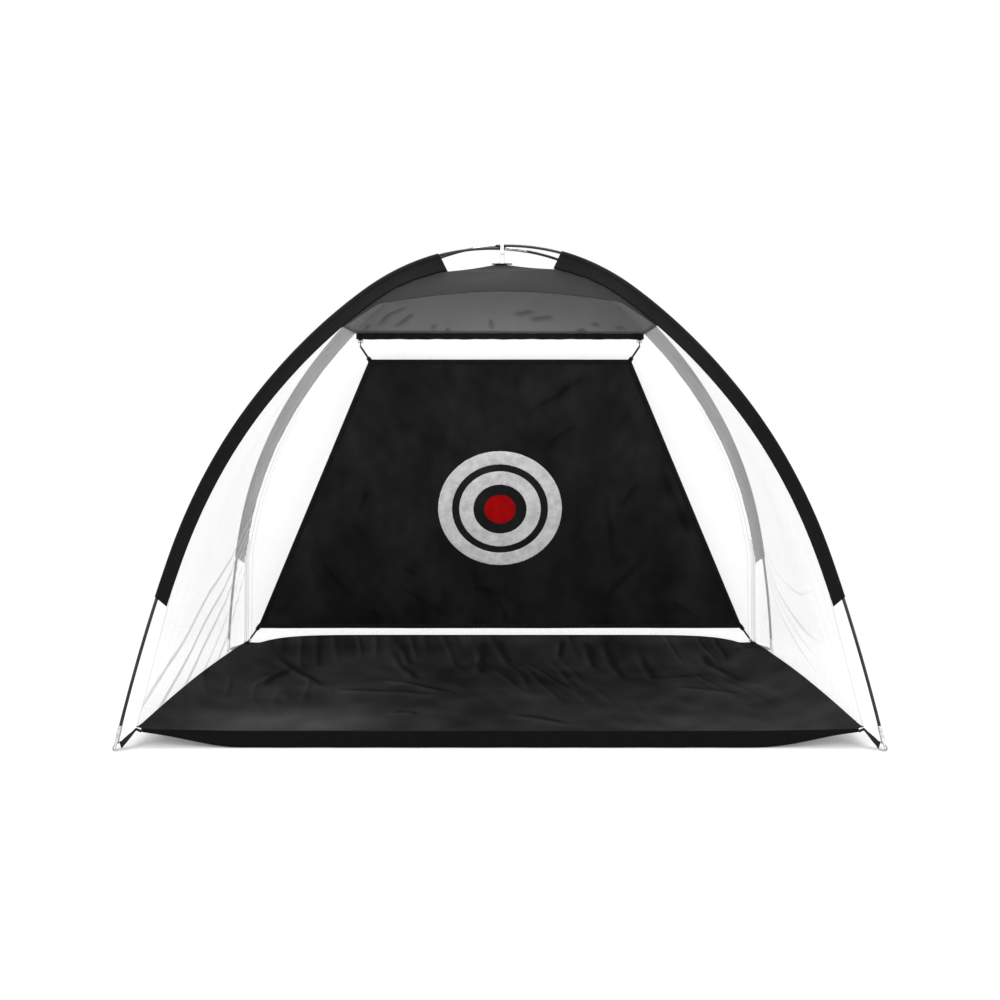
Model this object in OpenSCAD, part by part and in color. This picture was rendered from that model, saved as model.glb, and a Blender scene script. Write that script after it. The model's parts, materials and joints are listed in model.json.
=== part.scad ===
// Golf chipping net: two crossed flexible poles, a sewn cover with nets, and a hanging target.
// Millimetres. +Z is up, the golfer stands on the -Y side, and the origin is on the ground
// under the crossing of the poles.

/* [Frame] */
// Distance between the left and the right feet
net_w = 2000; // [1900:10:2100]
// Distance between the front and the back feet
net_d = 1000; // [940:10:1060]
// Height of the crossing of the poles
net_h = 1400; // [1340:10:1460]
// How much the legs bow together, seen from above
plan_bow = 0.28; // [0.2:0.01:0.36]
// Degrees that a pole bends in its first quarter from the crossing
bend_1 = 36; // [34:1:40]
// Degrees that it bends in the second quarter
bend_2 = 17; // [15:1:20]
// Degrees that it bends in the third quarter
bend_3 = 21; // [18:1:23]
// Degrees that it bends in the last quarter, down to the foot
bend_4 = 8; // [5:1:11]

/* [Poles] */
// Outer diameter of a pole section
pole_d = 8.5; // [7:0.5:9.5]
// Bore of a pole section
pole_bore = 5.5; // [4.5:0.25:6]
// Length of the steel ferrule over each joint of a pole
ferrule_len = 72; // [50:2:84]
// Wall of the ferrules and of the foot tips
ferrule_wall = 0.7; // [0.5:0.1:1]
// Clearance between a pole and the ferrule round it
ferrule_gap = 0.45; // [0.3:0.05:0.6]
// Gap between the ends of two sections inside their ferrule
joint_gap = 0.6; // [0.4:0.1:1.5]
// Diameter of the elastic cord inside the poles
shock_d = 2.5; // [2:0.25:3]
// How far the middle joint of each pole sits from the crossing
mid_joint = 50; // [46:1:60]
// Length of the steel tip on each foot
tip_len = 44; // [40:2:60]
// Diameter of the pin under the tip
pin_d = 5; // [4:0.5:6]
// Length of that pin
pin_len = 14; // [13:1:20]

/* [Sleeves] */
// Width of a sleeve at its upper end, across its pocket and its flat
sleeve_w_top = 54; // [46:1:62]
// Width of a sleeve at its lower end
sleeve_w_foot = 40; // [34:1:46]
// Cloth of the sleeves, both layers of the flat together
sleeve_flat = 2; // [1.4:0.2:2.6]
// Wall of the pocket
pocket_wall = 1.2; // [0.8:0.2:1.6]
// Clearance between a ferrule and the pocket round it
pocket_gap = 2; // [1.8:0.1:3]

/* [Roof] */
// Height of the cloth's peak under the crossing
peak_drop = 53; // [48:1:70]
// Thickness of the roof cloth, as a solid
cloth_t = 1.2; // [0.8:0.1:1.5]
// Height of the tape on the roof's back hem
hem_tape_h = 16; // [12:1:22]
// Thickness of that tape
hem_tape_t = 2.4; // [1.6:0.2:3]
// Depth of the folds in the roof
roof_fold = 7; // [3:1:10]

/* [Nets] */
// Thickness of the nets, as solids
net_t = 1.2; // [0.8:0.1:1.5]
// How far the back net bellies out behind the target
net_belly = 60; // [55:1:68]
// Depth of the folds in the nets
net_fold = 8; // [3:1:10]
// Gap between the edges of two sewn panels
seam_gap = 0.9; // [0.7:0.05:0.95]

/* [Floor] */
// Floor corner to foot, sideways, at the front
corner_in_front = 47; // [44:1:60]
// Floor corner to foot, sideways, at the back
corner_in_back = 66; // [60:1:74]
// Floor corner to foot, front to back
corner_in_y = 20; // [18:1:24]
// Height of the front corners
corner_h_front = 50; // [40:1:60]
// Height of the back corners
corner_h_back = 42; // [38:1:46]
// Height of the front edge in its middle
front_edge_h = 44; // [36:1:48]
// Height of the side edges in their middle
side_edge_h = 60; // [54:1:64]
// Height of the back edge in its middle
back_edge_h = 70; // [62:1:74]
// How far in from its edges the floor comes down to the ground
floor_rise = 190; // [150:10:230]
// Thickness of the floor cloth, as a solid
floor_t = 1.4; // [1:0.1:1.6]

/* [Target] */
// From the hooks on the roof's hem to the target's top edge
target_drop = 58; // [56:1:70]
// From the end of the roof's hem to a hook
hook_in = 18; // [14:1:30]
// From a hook sideways to the target's top corner
cord_splay = 27; // [22:1:32]
// Height of the target's bottom edge
target_clear = 104; // [98:1:120]
// From the floor's back edge forward to the target's bottom edge
target_setback = 38; // [36:1:46]
// From the floor's back corner sideways to the target's bottom corner
target_side_gap = 58; // [54:1:70]
// Thickness of the target cloth, as a solid
target_t = 1.4; // [1:0.1:1.8]
// Width of the binding round the target
binding_w = 16; // [12:1:24]
// Height of the bull's-eye's centre over the target's bottom edge, along the cloth
bull_up = 467; // [440:1:500]
// Outer radius of the outer ring
ring_r = 217; // [190:1:230]
// Width of each ring
ring_w = 51; // [40:1:54]
// Dark gap between the two rings
ring_space = 24; // [18:1:28]
// Radius of the red centre
bull_r = 54; // [40:1:60]
// Thickness of the rings and the centre on the cloth
print_t = 0.5; // [0.3:0.1:0.8]

/* [Cords and hooks] */
// Diameter of the target's elastic cords
cord_d = 6; // [5:0.5:7]
// Diameter of the wire of the hooks
hook_wire = 3; // [2.4:0.2:3.4]
// Diameter of the wire of the rings
ring_wire = 2.6; // [2.2:0.1:3]
// Clearance between a ring and what turns or hangs on it
ring_gap = 0.45; // [0.35:0.05:0.6]
// Thickness of the webbing
strap_t = 1.6; // [1.2:0.1:2]
// Width of the corner straps
strap_w = 20; // [16:1:21]

/* [Hidden] */

LEFT = -1;
RIGHT = 1;
FRONT = -1;
BACK = 1;
CORNERS = [[LEFT, FRONT], [RIGHT, FRONT], [LEFT, BACK], [RIGHT, BACK]];
BLACK = [0.09, 0.09, 0.1];
STEEL = [0.72, 0.73, 0.75];
ROOF_GREY = [0.3, 0.3, 0.32];
MESH_WHITE = [0.95, 0.96, 0.97, 0.5];

// ---- small helpers ----

function unit(v) = v / norm(v);
function mix(a, b, q) = a + (b - a) * q;
function clamp(x) = min(1, max(0, x));
function ease(x) = let(c = clamp(x)) c * c * (3 - 2 * c);

// Places a shape drawn round the Z axis so that it runs from p towards q.
module along(p, q) {
    d = unit(q - p);
    translate(p)
        rotate([0, acos(d.z), atan2(d.y, d.x)])
            children();
}

// A round bar between two points.
module bar(p, q, r) {
    along(p, q)
        cylinder(h = norm(q - p), r = r, $fn = 24);
}

// ---- curve of the poles ----

BENDS = [bend_1, bend_2, bend_3, bend_4];
DEGREE = PI / 180;
function turned(i) = i <= 0 ? 0 : turned(i - 1) + BENDS[i - 1];
function arc_run(i, q) = (sin(turned(i) + BENDS[i] * q) - sin(turned(i))) / (BENDS[i] * DEGREE);
function arc_fall(i, q) = (cos(turned(i)) - cos(turned(i) + BENDS[i] * q)) / (BENDS[i] * DEGREE);
function run_to(i) = i <= 0 ? 0 : run_to(i - 1) + arc_run(i - 1, 1);
function fall_to(i) = i <= 0 ? 0 : fall_to(i - 1) + arc_fall(i - 1, 1);
RUNS = [for (i = [0:4]) run_to(i)];
FALLS = [for (i = [0:4]) fall_to(i)];
function quarter(t) = min(3, floor(4 * t + 1e-9));
function run(t) = let(i = quarter(t)) (RUNS[i] + arc_run(i, 4 * t - i)) / RUNS[4];
function fall(t) = let(i = quarter(t)) (FALLS[i] + arc_fall(i, 4 * t - i)) / FALLS[4];

pole_r = pole_d / 2;
pin_r = pin_d / 2;
ferrule_r = pole_r + ferrule_gap + ferrule_wall;
// One pole passes over the other at the crossing, and both settle to one height further down.
stack_gap = 0.4;
STACK_END = 0.5;
function stacked(t) =
    (pole_r + stack_gap / 2) * (t < STACK_END ? (1 + cos(180 * t / STACK_END)) / 2 : 0);
function over(sx, sy) = -sx * sy;
// A point on the axis of a leg, from the crossing at t = 0 to the foot at t = 1.
function leg(sx, sy, t) = [
    sx * net_w / 2 * run(t),
    sy * net_d / 2 * t * (1 - plan_bow * (1 - t)),
    pin_r + (net_h - pin_r) * (1 - fall(t)) + over(sx, sy) * stacked(t)];
function foot(sx, sy) = leg(sx, sy, 1);
function leg_dir(sx, sy, t) = unit(leg(sx, sy, min(1, t + 0.01)) - leg(sx, sy, max(0, t - 0.01)));
// What a millimetre along the leg near its foot is in t.
t_per_mm = 0.01 / norm(leg(1, 1, 1) - leg(1, 1, 0.99));
t_per_mm_top = 0.01 / norm(leg(1, 1, 0.01) - leg(1, 1, 0));

// A whole pole runs from its back foot at s = -1 over the crossing to its front foot at s = 1.
// Pole a has its front foot on the right and lies on top; pole b has it on the left.
function front_side(p) = p == "a" ? RIGHT : LEFT;
function on_pole(p, s) = s >= 0 ? leg(front_side(p), FRONT, s) : leg(-front_side(p), BACK, -s);
mid_t = mid_joint * t_per_mm_top;
cap_t = 2;
pole_end = 1 - (pin_len + cap_t + ferrule_gap) * t_per_mm;
function joints(p) = [-0.75, -0.5, -0.25, -mid_t, 0.25, 0.5, 0.75];
function section_ends(p) = concat([-pole_end], joints(p), [pole_end]);

// ---- exact arcs through three points ----

// Draws its child, a section round the origin, along the arc from p through m to q.
// The arc stops short of both ends by trim, in millimetres.
module sweep_arc(p, m, q, trim = 0) {
    a = m - p;
    b = q - p;
    n = cross(a, b);
    centre = p + ((b * b) * cross(n, a) + (a * a) * cross(b, n)) / (2 * (n * n));
    radius = norm(p - centre);
    ex = (p - centre) / radius;
    ez = unit(n);
    ey = cross(ez, ex);
    angle = atan2((q - centre) * ey, (q - centre) * ex);
    cut = trim / radius / DEGREE;
    multmatrix([
        [ex.x, ey.x, ez.x, centre.x],
        [ex.y, ey.y, ez.y, centre.y],
        [ex.z, ey.z, ez.z, centre.z],
        [0, 0, 0, 1]])
        rotate([0, 0, cut])
            rotate_extrude(angle = angle - 2 * cut, $fn = 256)
                translate([radius, 0])
                    children();
}

module tube_section(outer, inner) {
    difference() {
        circle(r = outer, $fn = 32);
        circle(r = inner, $fn = 32);
    }
}

module pole_section(p, n) {
    s0 = section_ends(p)[n - 1];
    s1 = section_ends(p)[n];
    color(BLACK)
        sweep_arc(on_pole(p, s0), on_pole(p, (s0 + s1) / 2), on_pole(p, s1), joint_gap / 2)
            tube_section(pole_r, pole_bore / 2);
}

module pole_ferrules(p) {
    half = ferrule_len / 2 * t_per_mm_top;
    color(STEEL)
        for (s = joints(p))
            sweep_arc(on_pole(p, s - half), on_pole(p, s), on_pole(p, s + half))
                tube_section(ferrule_r, pole_r + ferrule_gap);
}

// ---- tips on the feet ----

plug_len = 12;
plug_r = pole_bore / 2 - 0.4;

module pole_tip(sx, sy) {
    base = foot(sx, sy);
    up = -leg_dir(sx, sy, 1);
    color(STEEL)
        along(base, base + up) {
            difference() {
                union() {
                    sphere(r = pin_r, $fn = 32);
                    cylinder(h = pin_len + 1, r = pin_r, $fn = 32);
                    translate([0, 0, pin_len])
                        cylinder(h = tip_len, r = ferrule_r, $fn = 32);
                }
                translate([0, 0, pin_len + cap_t])
                    cylinder(h = tip_len, r = pole_r + ferrule_gap, $fn = 32);
            }
            translate([0, 0, pin_len + cap_t / 2])
                cylinder(h = plug_len, r = plug_r, $fn = 32);
        }
}

// ---- sweeps and sheets made of triangles ----

// Joins the rings of a closed tube. Each ring is a list of the same number of points.
function tube_faces(rings, n) = [
    for (k = [0:rings - 2], i = [0:n - 1])
        let(j = (i + 1) % n, a = k * n, b = (k + 1) * n)
            each [[a + i, b + i, a + j], [a + j, b + i, b + j]]];

function fan(start, n, flip) = [
    for (i = [1:n - 2])
        flip ? [start, start + i + 1, start + i] : [start, start + i, start + i + 1]];

// Axes across a leg: inward, towards the middle of the net, and sideways.
inward_lean = 0.2;
function inward(sx, sy, t) =
    let(d = leg_dir(sx, sy, t), v = [sx * d.z, -sy * inward_lean, -sx * d.x])
        unit(v - (v * d) * d);
function sideways(sx, sy, t) = cross(leg_dir(sx, sy, t), inward(sx, sy, t));

// Elastic cord inside a pole.
SHOCK_SIDES = 6;
SHOCK_STEPS = 50;

module shock_cord(p) {
    end = 1 - (pin_len + cap_t / 2 + plug_len + ferrule_gap) * t_per_mm;
    rings = [
        for (k = [0:SHOCK_STEPS])
            let(s = -end + 2 * end * k / SHOCK_STEPS,
                d = unit(on_pole(p, s + 0.005) - on_pole(p, s - 0.005)),
                across = unit(cross(d, [0, 1, 0])),
                other = cross(d, across))
                for (i = [0:SHOCK_SIDES - 1])
                    let(a = 360 * i / SHOCK_SIDES)
                        on_pole(p, s) + shock_d / 2 * (cos(a) * across + sin(a) * other)];
    color("dimgray")
        polyhedron(
            points = rings,
            faces = concat(
                tube_faces(SHOCK_STEPS + 1, SHOCK_SIDES),
                fan(0, SHOCK_SIDES, false),
                fan(SHOCK_STEPS * SHOCK_SIDES, SHOCK_SIDES, true)));
}

// ---- sleeves ----

SLEEVE_START = 0.11;
SLEEVE_END = 0.8;
// Places of the sewn edges' corners, closer together where the poles bend more.
STATIONS = concat(
    [for (k = [0:5]) SLEEVE_START + k * 0.025],
    [for (k = [0:12]) 0.25 + k / 24],
    [SLEEVE_END]);
pocket_r = ferrule_r + pocket_gap;
pocket_outer = pocket_r + pocket_wall;
function sleeve_w(t) =
    mix(sleeve_w_top, sleeve_w_foot, (t - SLEEVE_START) / (SLEEVE_END - SLEEVE_START));
function flat_end(t) = sleeve_w(t) - pocket_outer;

// A sleeve is cut aslant at its foot, lower at its sewn edge: millimetres per millimetre of width.
foot_slant = 0.5;
function cut_t(t, inwards) = t < SLEEVE_END ? t : t + inwards * foot_slant * t_per_mm;

// Profile points, as [inward, sideways], of a sleeve's outside and of its pocket.
POCKET_ANGLES = [for (a = [45:45:315]) a];
function sleeve_outside(t) = concat(
    [for (a = POCKET_ANGLES) pocket_outer * [cos(a), sin(a)]],
    [[flat_end(t), -sleeve_flat / 2], [flat_end(t), sleeve_flat / 2]]);
function sleeve_pocket() = concat(
    [for (a = POCKET_ANGLES) pocket_r * [cos(a), sin(a)]],
    [[pocket_r + 3, -0.5], [pocket_r + 3, 0.5]]);

module sleeve(sx, sy) {
    n = len(POCKET_ANGLES) + 2;
    rings = len(STATIONS);
    outside = [
        for (t = STATIONS, q = sleeve_outside(t))
            leg(sx, sy, cut_t(t, q[0])) + q[0] * inward(sx, sy, t) + q[1] * sideways(sx, sy, t)];
    pocket = [
        for (t = STATIONS, q = sleeve_pocket())
            leg(sx, sy, cut_t(t, q[0])) + q[0] * inward(sx, sy, t) + q[1] * sideways(sx, sy, t)];
    base = rings * n;
    last = (rings - 1) * n;
    rim = [
        for (i = [0:n - 1])
            let(j = (i + 1) % n)
                each [
                    [i, j, base + i],
                    [j, base + j, base + i],
                    [last + j, last + i, base + last + i],
                    [last + j, base + last + i, base + last + j]]];
    lining = [for (f = tube_faces(rings, n)) [f[2] + base, f[1] + base, f[0] + base]];
    color(BLACK)
        polyhedron(points = concat(outside, pocket), faces = concat(tube_faces(rings, n), lining, rim));
}

// ---- sewn edges that the panels share ----

peak = [0, 0, net_h - peak_drop];
function flat_edge(sx, sy, t) = leg(sx, sy, t) + flat_end(t) * inward(sx, sy, t);
EDGES = [for (c = CORNERS) [for (t = STATIONS) flat_edge(c[0], c[1], t)]];
function corner_index(sx, sy) = (sx + 1) / 2 + (sy + 1);
function station_before(t) = max([for (k = [0:len(STATIONS) - 2]) STATIONS[k] <= t + 1e-9 ? k : 0]);
function floor_corner(sx, sy) = [
    sx * (net_w / 2 - (sy == FRONT ? corner_in_front : corner_in_back)),
    sy * (net_d / 2 - corner_in_y),
    sy == FRONT ? corner_h_front : corner_h_back];
// The line that the cover is sewn along: peak, flat of the sleeve, then free down to the floor.
function edge(sx, sy, t) =
    let(e = EDGES[corner_index(sx, sy)], last = len(STATIONS) - 1)
        t < SLEEVE_START ? mix(peak, e[0], t / SLEEVE_START)
        : t > SLEEVE_END ? mix(e[last], floor_corner(sx, sy), (t - SLEEVE_END) / (1 - SLEEVE_END))
        : let(k = station_before(t))
            mix(e[k], e[k + 1], (t - STATIONS[k]) / (STATIONS[k + 1] - STATIONS[k]));
// A point between two edges, a share q of the way, clear of both by a gap.
function between(a, b, q, gap) = let(g = gap / norm(b - a)) mix(a, b, mix(g, 1 - g, q));
// A panel that leaves a sleeve sideways also clears half the thickness of its flat.
side_gap = sleeve_flat / 2 + seam_gap - 0.3;
roof_gap = seam_gap + 0.8;

// A closed sheet round a grid of points on its middle surface. Rows run along, columns across.
module sheet(grid, thick) {
    rows = len(grid);
    cols = len(grid[0]);
    normals = [
        for (r = [0:rows - 1])
            [for (c = [0:cols - 1])
                unit(cross(
                    grid[min(rows - 1, r + 1)][c] - grid[max(0, r - 1)][c],
                    grid[r][min(cols - 1, c + 1)] - grid[r][max(0, c - 1)]))]];
    upper = [for (r = [0:rows - 1], c = [0:cols - 1]) grid[r][c] + normals[r][c] * thick / 2];
    lower = [for (r = [0:rows - 1], c = [0:cols - 1]) grid[r][c] - normals[r][c] * thick / 2];
    n = rows * cols;
    skin = [
        for (r = [0:rows - 2], c = [0:cols - 2])
            let(i = r * cols + c, j = i + cols)
                each [[i, i + 1, j + 1], [i, j + 1, j]]];
    rim = concat(
        [for (c = [0:cols - 2]) c],
        [for (r = [0:rows - 2]) r * cols + cols - 1],
        [for (c = [cols - 1:-1:1]) (rows - 1) * cols + c],
        [for (r = [rows - 1:-1:1]) r * cols]);
    walls = [
        for (k = [0:len(rim) - 1])
            let(a = rim[k], b = rim[(k + 1) % len(rim)])
                each [[b, a, a + n], [b, a + n, b + n]]];
    back = [for (f = skin) [f[2] + n, f[1] + n, f[0] + n]];
    polyhedron(points = concat(upper, lower), faces = concat(skin, back, walls));
}

// ---- roof ----

ROOF_START = 0.012;
HEM_T = 0.318;
FRONT_HEM_SIDE = 0.259;
FRONT_HEM_MID = 0.218;
ROOF_ROWS = concat([ROOF_START, 0.06], [for (t = STATIONS) if (t < HEM_T - 0.01) t], [HEM_T]);
WIDE_COLS = 12;
SIDE_COLS = 4;
// Rows run down to the hem, which may be higher in the middle of the panel than at its sides.
function row_t(row, q, side, middle) =
    let(end = mix(side, middle, 1 - pow(abs(2 * q - 1), 2)))
        mix(ROOF_START, end, (ROOF_ROWS[row] - ROOF_START) / (HEM_T - ROOF_START));

module roof_panel(a, b, cols, side, middle, fold, folds) {
    grid = [
        for (r = [0:len(ROOF_ROWS) - 1])
            [for (c = [0:cols])
                let(q = c / cols,
                    t = row_t(r, q, side, middle),
                    down = r / (len(ROOF_ROWS) - 1),
                    swell = sin(180 * q) * sin(180 * down))
                    between(
                        edge(a[0], a[1], t),
                        edge(b[0], b[1], t),
                        q,
                        a[0] == b[0] ? side_gap : roof_gap)
                        + [0, 0, -fold * swell * cos(360 * folds * q)]]];
    sheet(grid, cloth_t);
}

module roof_front() {
    color(BLACK)
        roof_panel([RIGHT, FRONT], [LEFT, FRONT], WIDE_COLS, FRONT_HEM_SIDE, FRONT_HEM_MID, 2, 0);
}

module roof_back() {
    color(ROOF_GREY)
        roof_panel([LEFT, BACK], [RIGHT, BACK], WIDE_COLS, HEM_T, HEM_T, roof_fold, 3);
}

module roof_left() {
    color(BLACK)
        roof_panel([LEFT, FRONT], [LEFT, BACK], SIDE_COLS, HEM_T, HEM_T, roof_fold, 0);
}

module roof_right() {
    color(BLACK)
        roof_panel([RIGHT, BACK], [RIGHT, FRONT], SIDE_COLS, HEM_T, HEM_T, roof_fold, 0);
}

// Tape along the back hem: the roof ends on its top edge and the back net under its bottom edge.
hem_end = edge(RIGHT, BACK, HEM_T);
hem_y = hem_end.y;
hem_top = hem_end.z - cloth_t / 2 - 0.3;
hem_bottom = hem_top - hem_tape_h;

module roof_back_hem() {
    half = hem_end.x - seam_gap - sleeve_flat;
    color(BLACK)
        translate([-half, hem_y - hem_tape_t / 2, hem_bottom])
            cube([2 * half, hem_tape_t, hem_tape_h]);
}

// ---- peak: patch, loop and clip ----

patch_len = 64;
patch_w = 18;
patch_t = 1.6;
patch_z = edge(RIGHT, BACK, ROOF_START).z + cloth_t / 2 + 0.95;
clip_x = 6.5;
clip_len = 10;
clip_wall = 3;
clip_y = pole_r + clip_len / 2 * 0.35 + 1.2;
crossing_top = net_h + pole_d + stack_gap / 2;
crossing_low = net_h - pole_d - stack_gap / 2;
clip_gap = 0.5;
eye_h = 7;
peak_loop_w = 10;

module peak_patch() {
    color(ROOF_GREY)
        translate([clip_x - patch_len / 2, -patch_w / 2, patch_z])
            cube([patch_len, patch_w, patch_t]);
}

// White clip: a closed loop round both poles, with an eye under it.
module apex_clip() {
    low = crossing_low - clip_gap;
    high = crossing_top + clip_gap;
    color("white")
        translate([clip_x - clip_len / 2, 0, 0])
            rotate([90, 0, 90])
                linear_extrude(clip_len)
                    difference() {
                        translate([-clip_y - clip_wall, low - eye_h - 2 * clip_wall])
                            square([2 * (clip_y + clip_wall), high - low + eye_h + 3 * clip_wall]);
                        translate([-clip_y, low])
                            square([2 * clip_y, high - low]);
                        translate([-clip_y, low - clip_wall - eye_h])
                            square([2 * clip_y, eye_h]);
                    }
}

// Outline of a band of webbing along a path in its own plane.
function path_normal(path, k) =
    let(a = path[max(0, k - 1)], b = path[min(len(path) - 1, k + 1)], d = unit(b - a))
        [-d.y, d.x];
function band(path, thick) = concat(
    [for (k = [0:len(path) - 1]) path[k] + path_normal(path, k) * thick / 2],
    [for (k = [len(path) - 1:-1:0]) path[k] - path_normal(path, k) * thick / 2]);

function mirrored(path) = [for (k = [len(path) - 1:-1:0]) [-path[k].x, path[k].y]];

// Webbing loop on the patch, round the bottom bar of the clip's eye.
module peak_loop() {
    eye_low = crossing_low - clip_gap - clip_wall - eye_h;
    over_bar = eye_low + ring_gap + strap_t / 2;
    side = clip_len / 2 + ring_gap + strap_t / 2;
    foot_z = patch_z + patch_t + strap_t / 2 + 0.3;
    half = [
        [side + 12, foot_z], [side + 4, foot_z], [side + 0.3, foot_z + 4],
        [side + 0.3, over_bar], [side - 1, over_bar + 0.6]];
    color("white")
        translate([clip_x, 0, 0])
            rotate([90, 0, 0])
                linear_extrude(peak_loop_w, center = true)
                    polygon(band(concat(half, mirrored(half)), strap_t));
}

// ---- nets ----

NET_START = HEM_T + seam_gap * t_per_mm;
NET_ROWS = concat([NET_START], [for (t = STATIONS) if (t > HEM_T + 0.01) t], [0.87, 0.93, 0.97, 1]);
SIDE_NET_COLS = 8;
BACK_NET_COLS = 14;
// Between a net's lower edge and the floor cloth.
net_floor_gap = 0.8;
net_lift = net_floor_gap + floor_t / 2;
function free_part(t) = clamp((t - SLEEVE_END) / (1 - SLEEVE_END));

module net_side(sx) {
    a = sx == RIGHT ? BACK : FRONT;
    grid = [
        for (t = NET_ROWS)
            [for (c = [0:SIDE_NET_COLS])
                let(q = c / SIDE_NET_COLS,
                    deep = sin(180 * q) * sin(180 * clamp((t - NET_START) / (1 - NET_START))),
                    lift = side_arch(q) * free_part(t) + (t == 1 ? net_lift : 0))
                    between(edge(sx, a, t), edge(sx, -a, t), q, side_gap)
                        + [sx * net_fold * deep * cos(720 * q), 0, lift]]];
    color(MESH_WHITE)
        sheet(grid, net_t);
}

// The back net bellies out behind the target and comes back to the floor's edge.
function belly(q, t) =
    net_belly * (1 - pow(abs(2 * q - 1), 10)) * ease((t - HEM_T) / 0.2)
        * (t <= SLEEVE_END ? 1 : 1 - 0.5 * pow(free_part(t), 3));
function wide_spread(c) = (1 + sin(90 * (2 * c / BACK_NET_COLS - 1))) / 2;
// How the floor's back and side edges rise between its corners, in straight steps from one
// column of the net to the next, so that net and floor keep to one line.
arch_start = 0.94;
BACK_ARCH = [
    for (c = [0:BACK_NET_COLS])
        let(q = wide_spread(c))
            [q, (back_edge_h - corner_h_back) * (1 - pow(min(1, abs(2 * q - 1) / arch_start), 10))]];
SIDE_ARCH = [
    for (c = [0:SIDE_NET_COLS])
        let(q = c / SIDE_NET_COLS)
            [q, (side_edge_h - (corner_h_front + corner_h_back) / 2) * sin(180 * q)]];
function back_arch(q) = lookup(q, BACK_ARCH);
function side_arch(q) = lookup(q, SIDE_ARCH);

module net_back() {
    tape_low = hem_bottom - seam_gap;
    grid = [
        for (t = NET_ROWS)
            [for (c = [0:BACK_NET_COLS])
                let(q = wide_spread(c),
                    p = between(edge(LEFT, BACK, t), edge(RIGHT, BACK, t), q, seam_gap),
                    ripple = net_fold / 2 * sin(180 * q) * cos(1440 * q)
                        * sin(180 * clamp((t - NET_START) / (1 - NET_START))),
                    out = t == 1 ? 0 : belly(q, t) + ripple,
                    lift = back_arch(q) * free_part(t) + (t == 1 ? net_lift : 0))
                    t == NET_START ? [p.x, hem_y, tape_low] : p + [0, out, lift]]];
    color(MESH_WHITE)
        sheet(grid, net_t);
}

// ---- floor ----

FLOOR_COLS = 24;
FLOOR_ROWS = 10;
flat_front_x = 0.7;
function near_edge(d) = pow(clamp(1 - d / floor_rise), 2);
// Height of the front edge: low in the middle, up to the corners.
function front_h(x) =
    mix(front_edge_h, corner_h_front, pow(clamp((abs(x) - flat_front_x) / (1 - flat_front_x)), 1.3));
function back_h(x) = corner_h_back + back_arch((x + 1) / 2);
// Middle of the floor cloth at a share x of its half width and y of its half depth.
function floor_at(x, y) =
    let(front = floor_corner(RIGHT, FRONT),
        rear = floor_corner(RIGHT, BACK),
        share = (y + 1) / 2,
        half = mix(front.x, rear.x, share),
        side_h = mix(front.z, rear.z, share) + side_arch(share),
        h = max(
            side_h * near_edge(half * (1 - abs(x))),
            front_h(x) * near_edge(rear.y * (1 + y)),
            back_h(x) * near_edge(rear.y * (1 - y))))
        [x * half, y * rear.y, max(h, floor_t / 2)];
function floor_spread(v) = sin(90 * v);

module floor_cloth() {
    grid = [
        for (r = [0:FLOOR_ROWS])
            [for (c = [0:FLOOR_COLS])
                floor_at(floor_spread(2 * c / FLOOR_COLS - 1), floor_spread(2 * r / FLOOR_ROWS - 1))]];
    color(BLACK)
        sheet(grid, floor_t);
}

// Skirt under the front edge: down to the ground in the middle, tapering to the corners.
skirt_gap = 0.4;
skirt_t = 1.4;
skirt_reach = 0.97;
skirt_end_h = 6;

module floor_front_hem() {
    y = -(net_d / 2 - corner_in_y) - floor_t / 2 - skirt_gap - skirt_t / 2;
    grid = [
        for (k = [0, 1])
            [for (c = [0:FLOOR_COLS])
                let(x = floor_spread(2 * c / FLOOR_COLS - 1) * skirt_reach,
                    top = floor_at(x, -1),
                    reach = clamp((1 - abs(x)) / (1 - flat_front_x)),
                    low = mix(top.z - skirt_end_h, 0, ease(reach)))
                    [top.x, y, k == 0 ? top.z : low]]];
    color(BLACK)
        sheet(grid, skirt_t);
}

// ---- corner straps and rings ----

corner_wire_r = 1.6;
corner_ring_r = strap_w / 2 + corner_wire_r + 0.4;
corner_leg = 10;
corner_tilt = 20;
corner_roll = 28;
corner_ring_z = 6;
pin_gap = 0.35;
pin_seat = corner_ring_r - corner_wire_r - pin_r - pin_gap;
corner_bar = pin_seat + corner_leg;

// Draws in a frame at a foot, with X from the foot to the floor's corner.
module at_foot(sx, sy) {
    base = foot(sx, sy);
    to = floor_corner(sx, sy) - base;
    translate([base.x, base.y, 0])
        rotate([0, 0, atan2(to.y, to.x)])
            children();
}

// D-shaped ring: its arc goes round the pin, and its straight bar holds the strap.
// It lies rolled outward, the way the strap pulls it.
module corner_ring(roll) {
    translate([0, 0, corner_ring_z])
        rotate([roll, -corner_tilt, 0]) {
            translate([pin_seat, 0, 0])
                rotate([0, 0, 90])
                    rotate_extrude(angle = 180, $fn = 64)
                        translate([corner_ring_r, 0])
                            circle(r = corner_wire_r, $fn = 24);
            for (side = [-1, 1]) {
                bar(
                    [pin_seat, side * corner_ring_r, 0],
                    [corner_bar, side * corner_ring_r, 0],
                    corner_wire_r);
                translate([corner_bar, side * corner_ring_r, 0])
                    sphere(r = corner_wire_r, $fn = 24);
            }
            bar([corner_bar, -corner_ring_r, 0], [corner_bar, corner_ring_r, 0], corner_wire_r);
        }
}

module corner_rings() {
    color(STEEL)
        for (c = CORNERS)
            at_foot(c[0], c[1])
                corner_ring(c[0] * c[1] * corner_roll);
}

// Strap: an eye round the ring's bar, then a twist up to the corner and on under the floor cloth.
strap_tail = 12;
strap_floor_gap = 0.8;

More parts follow.
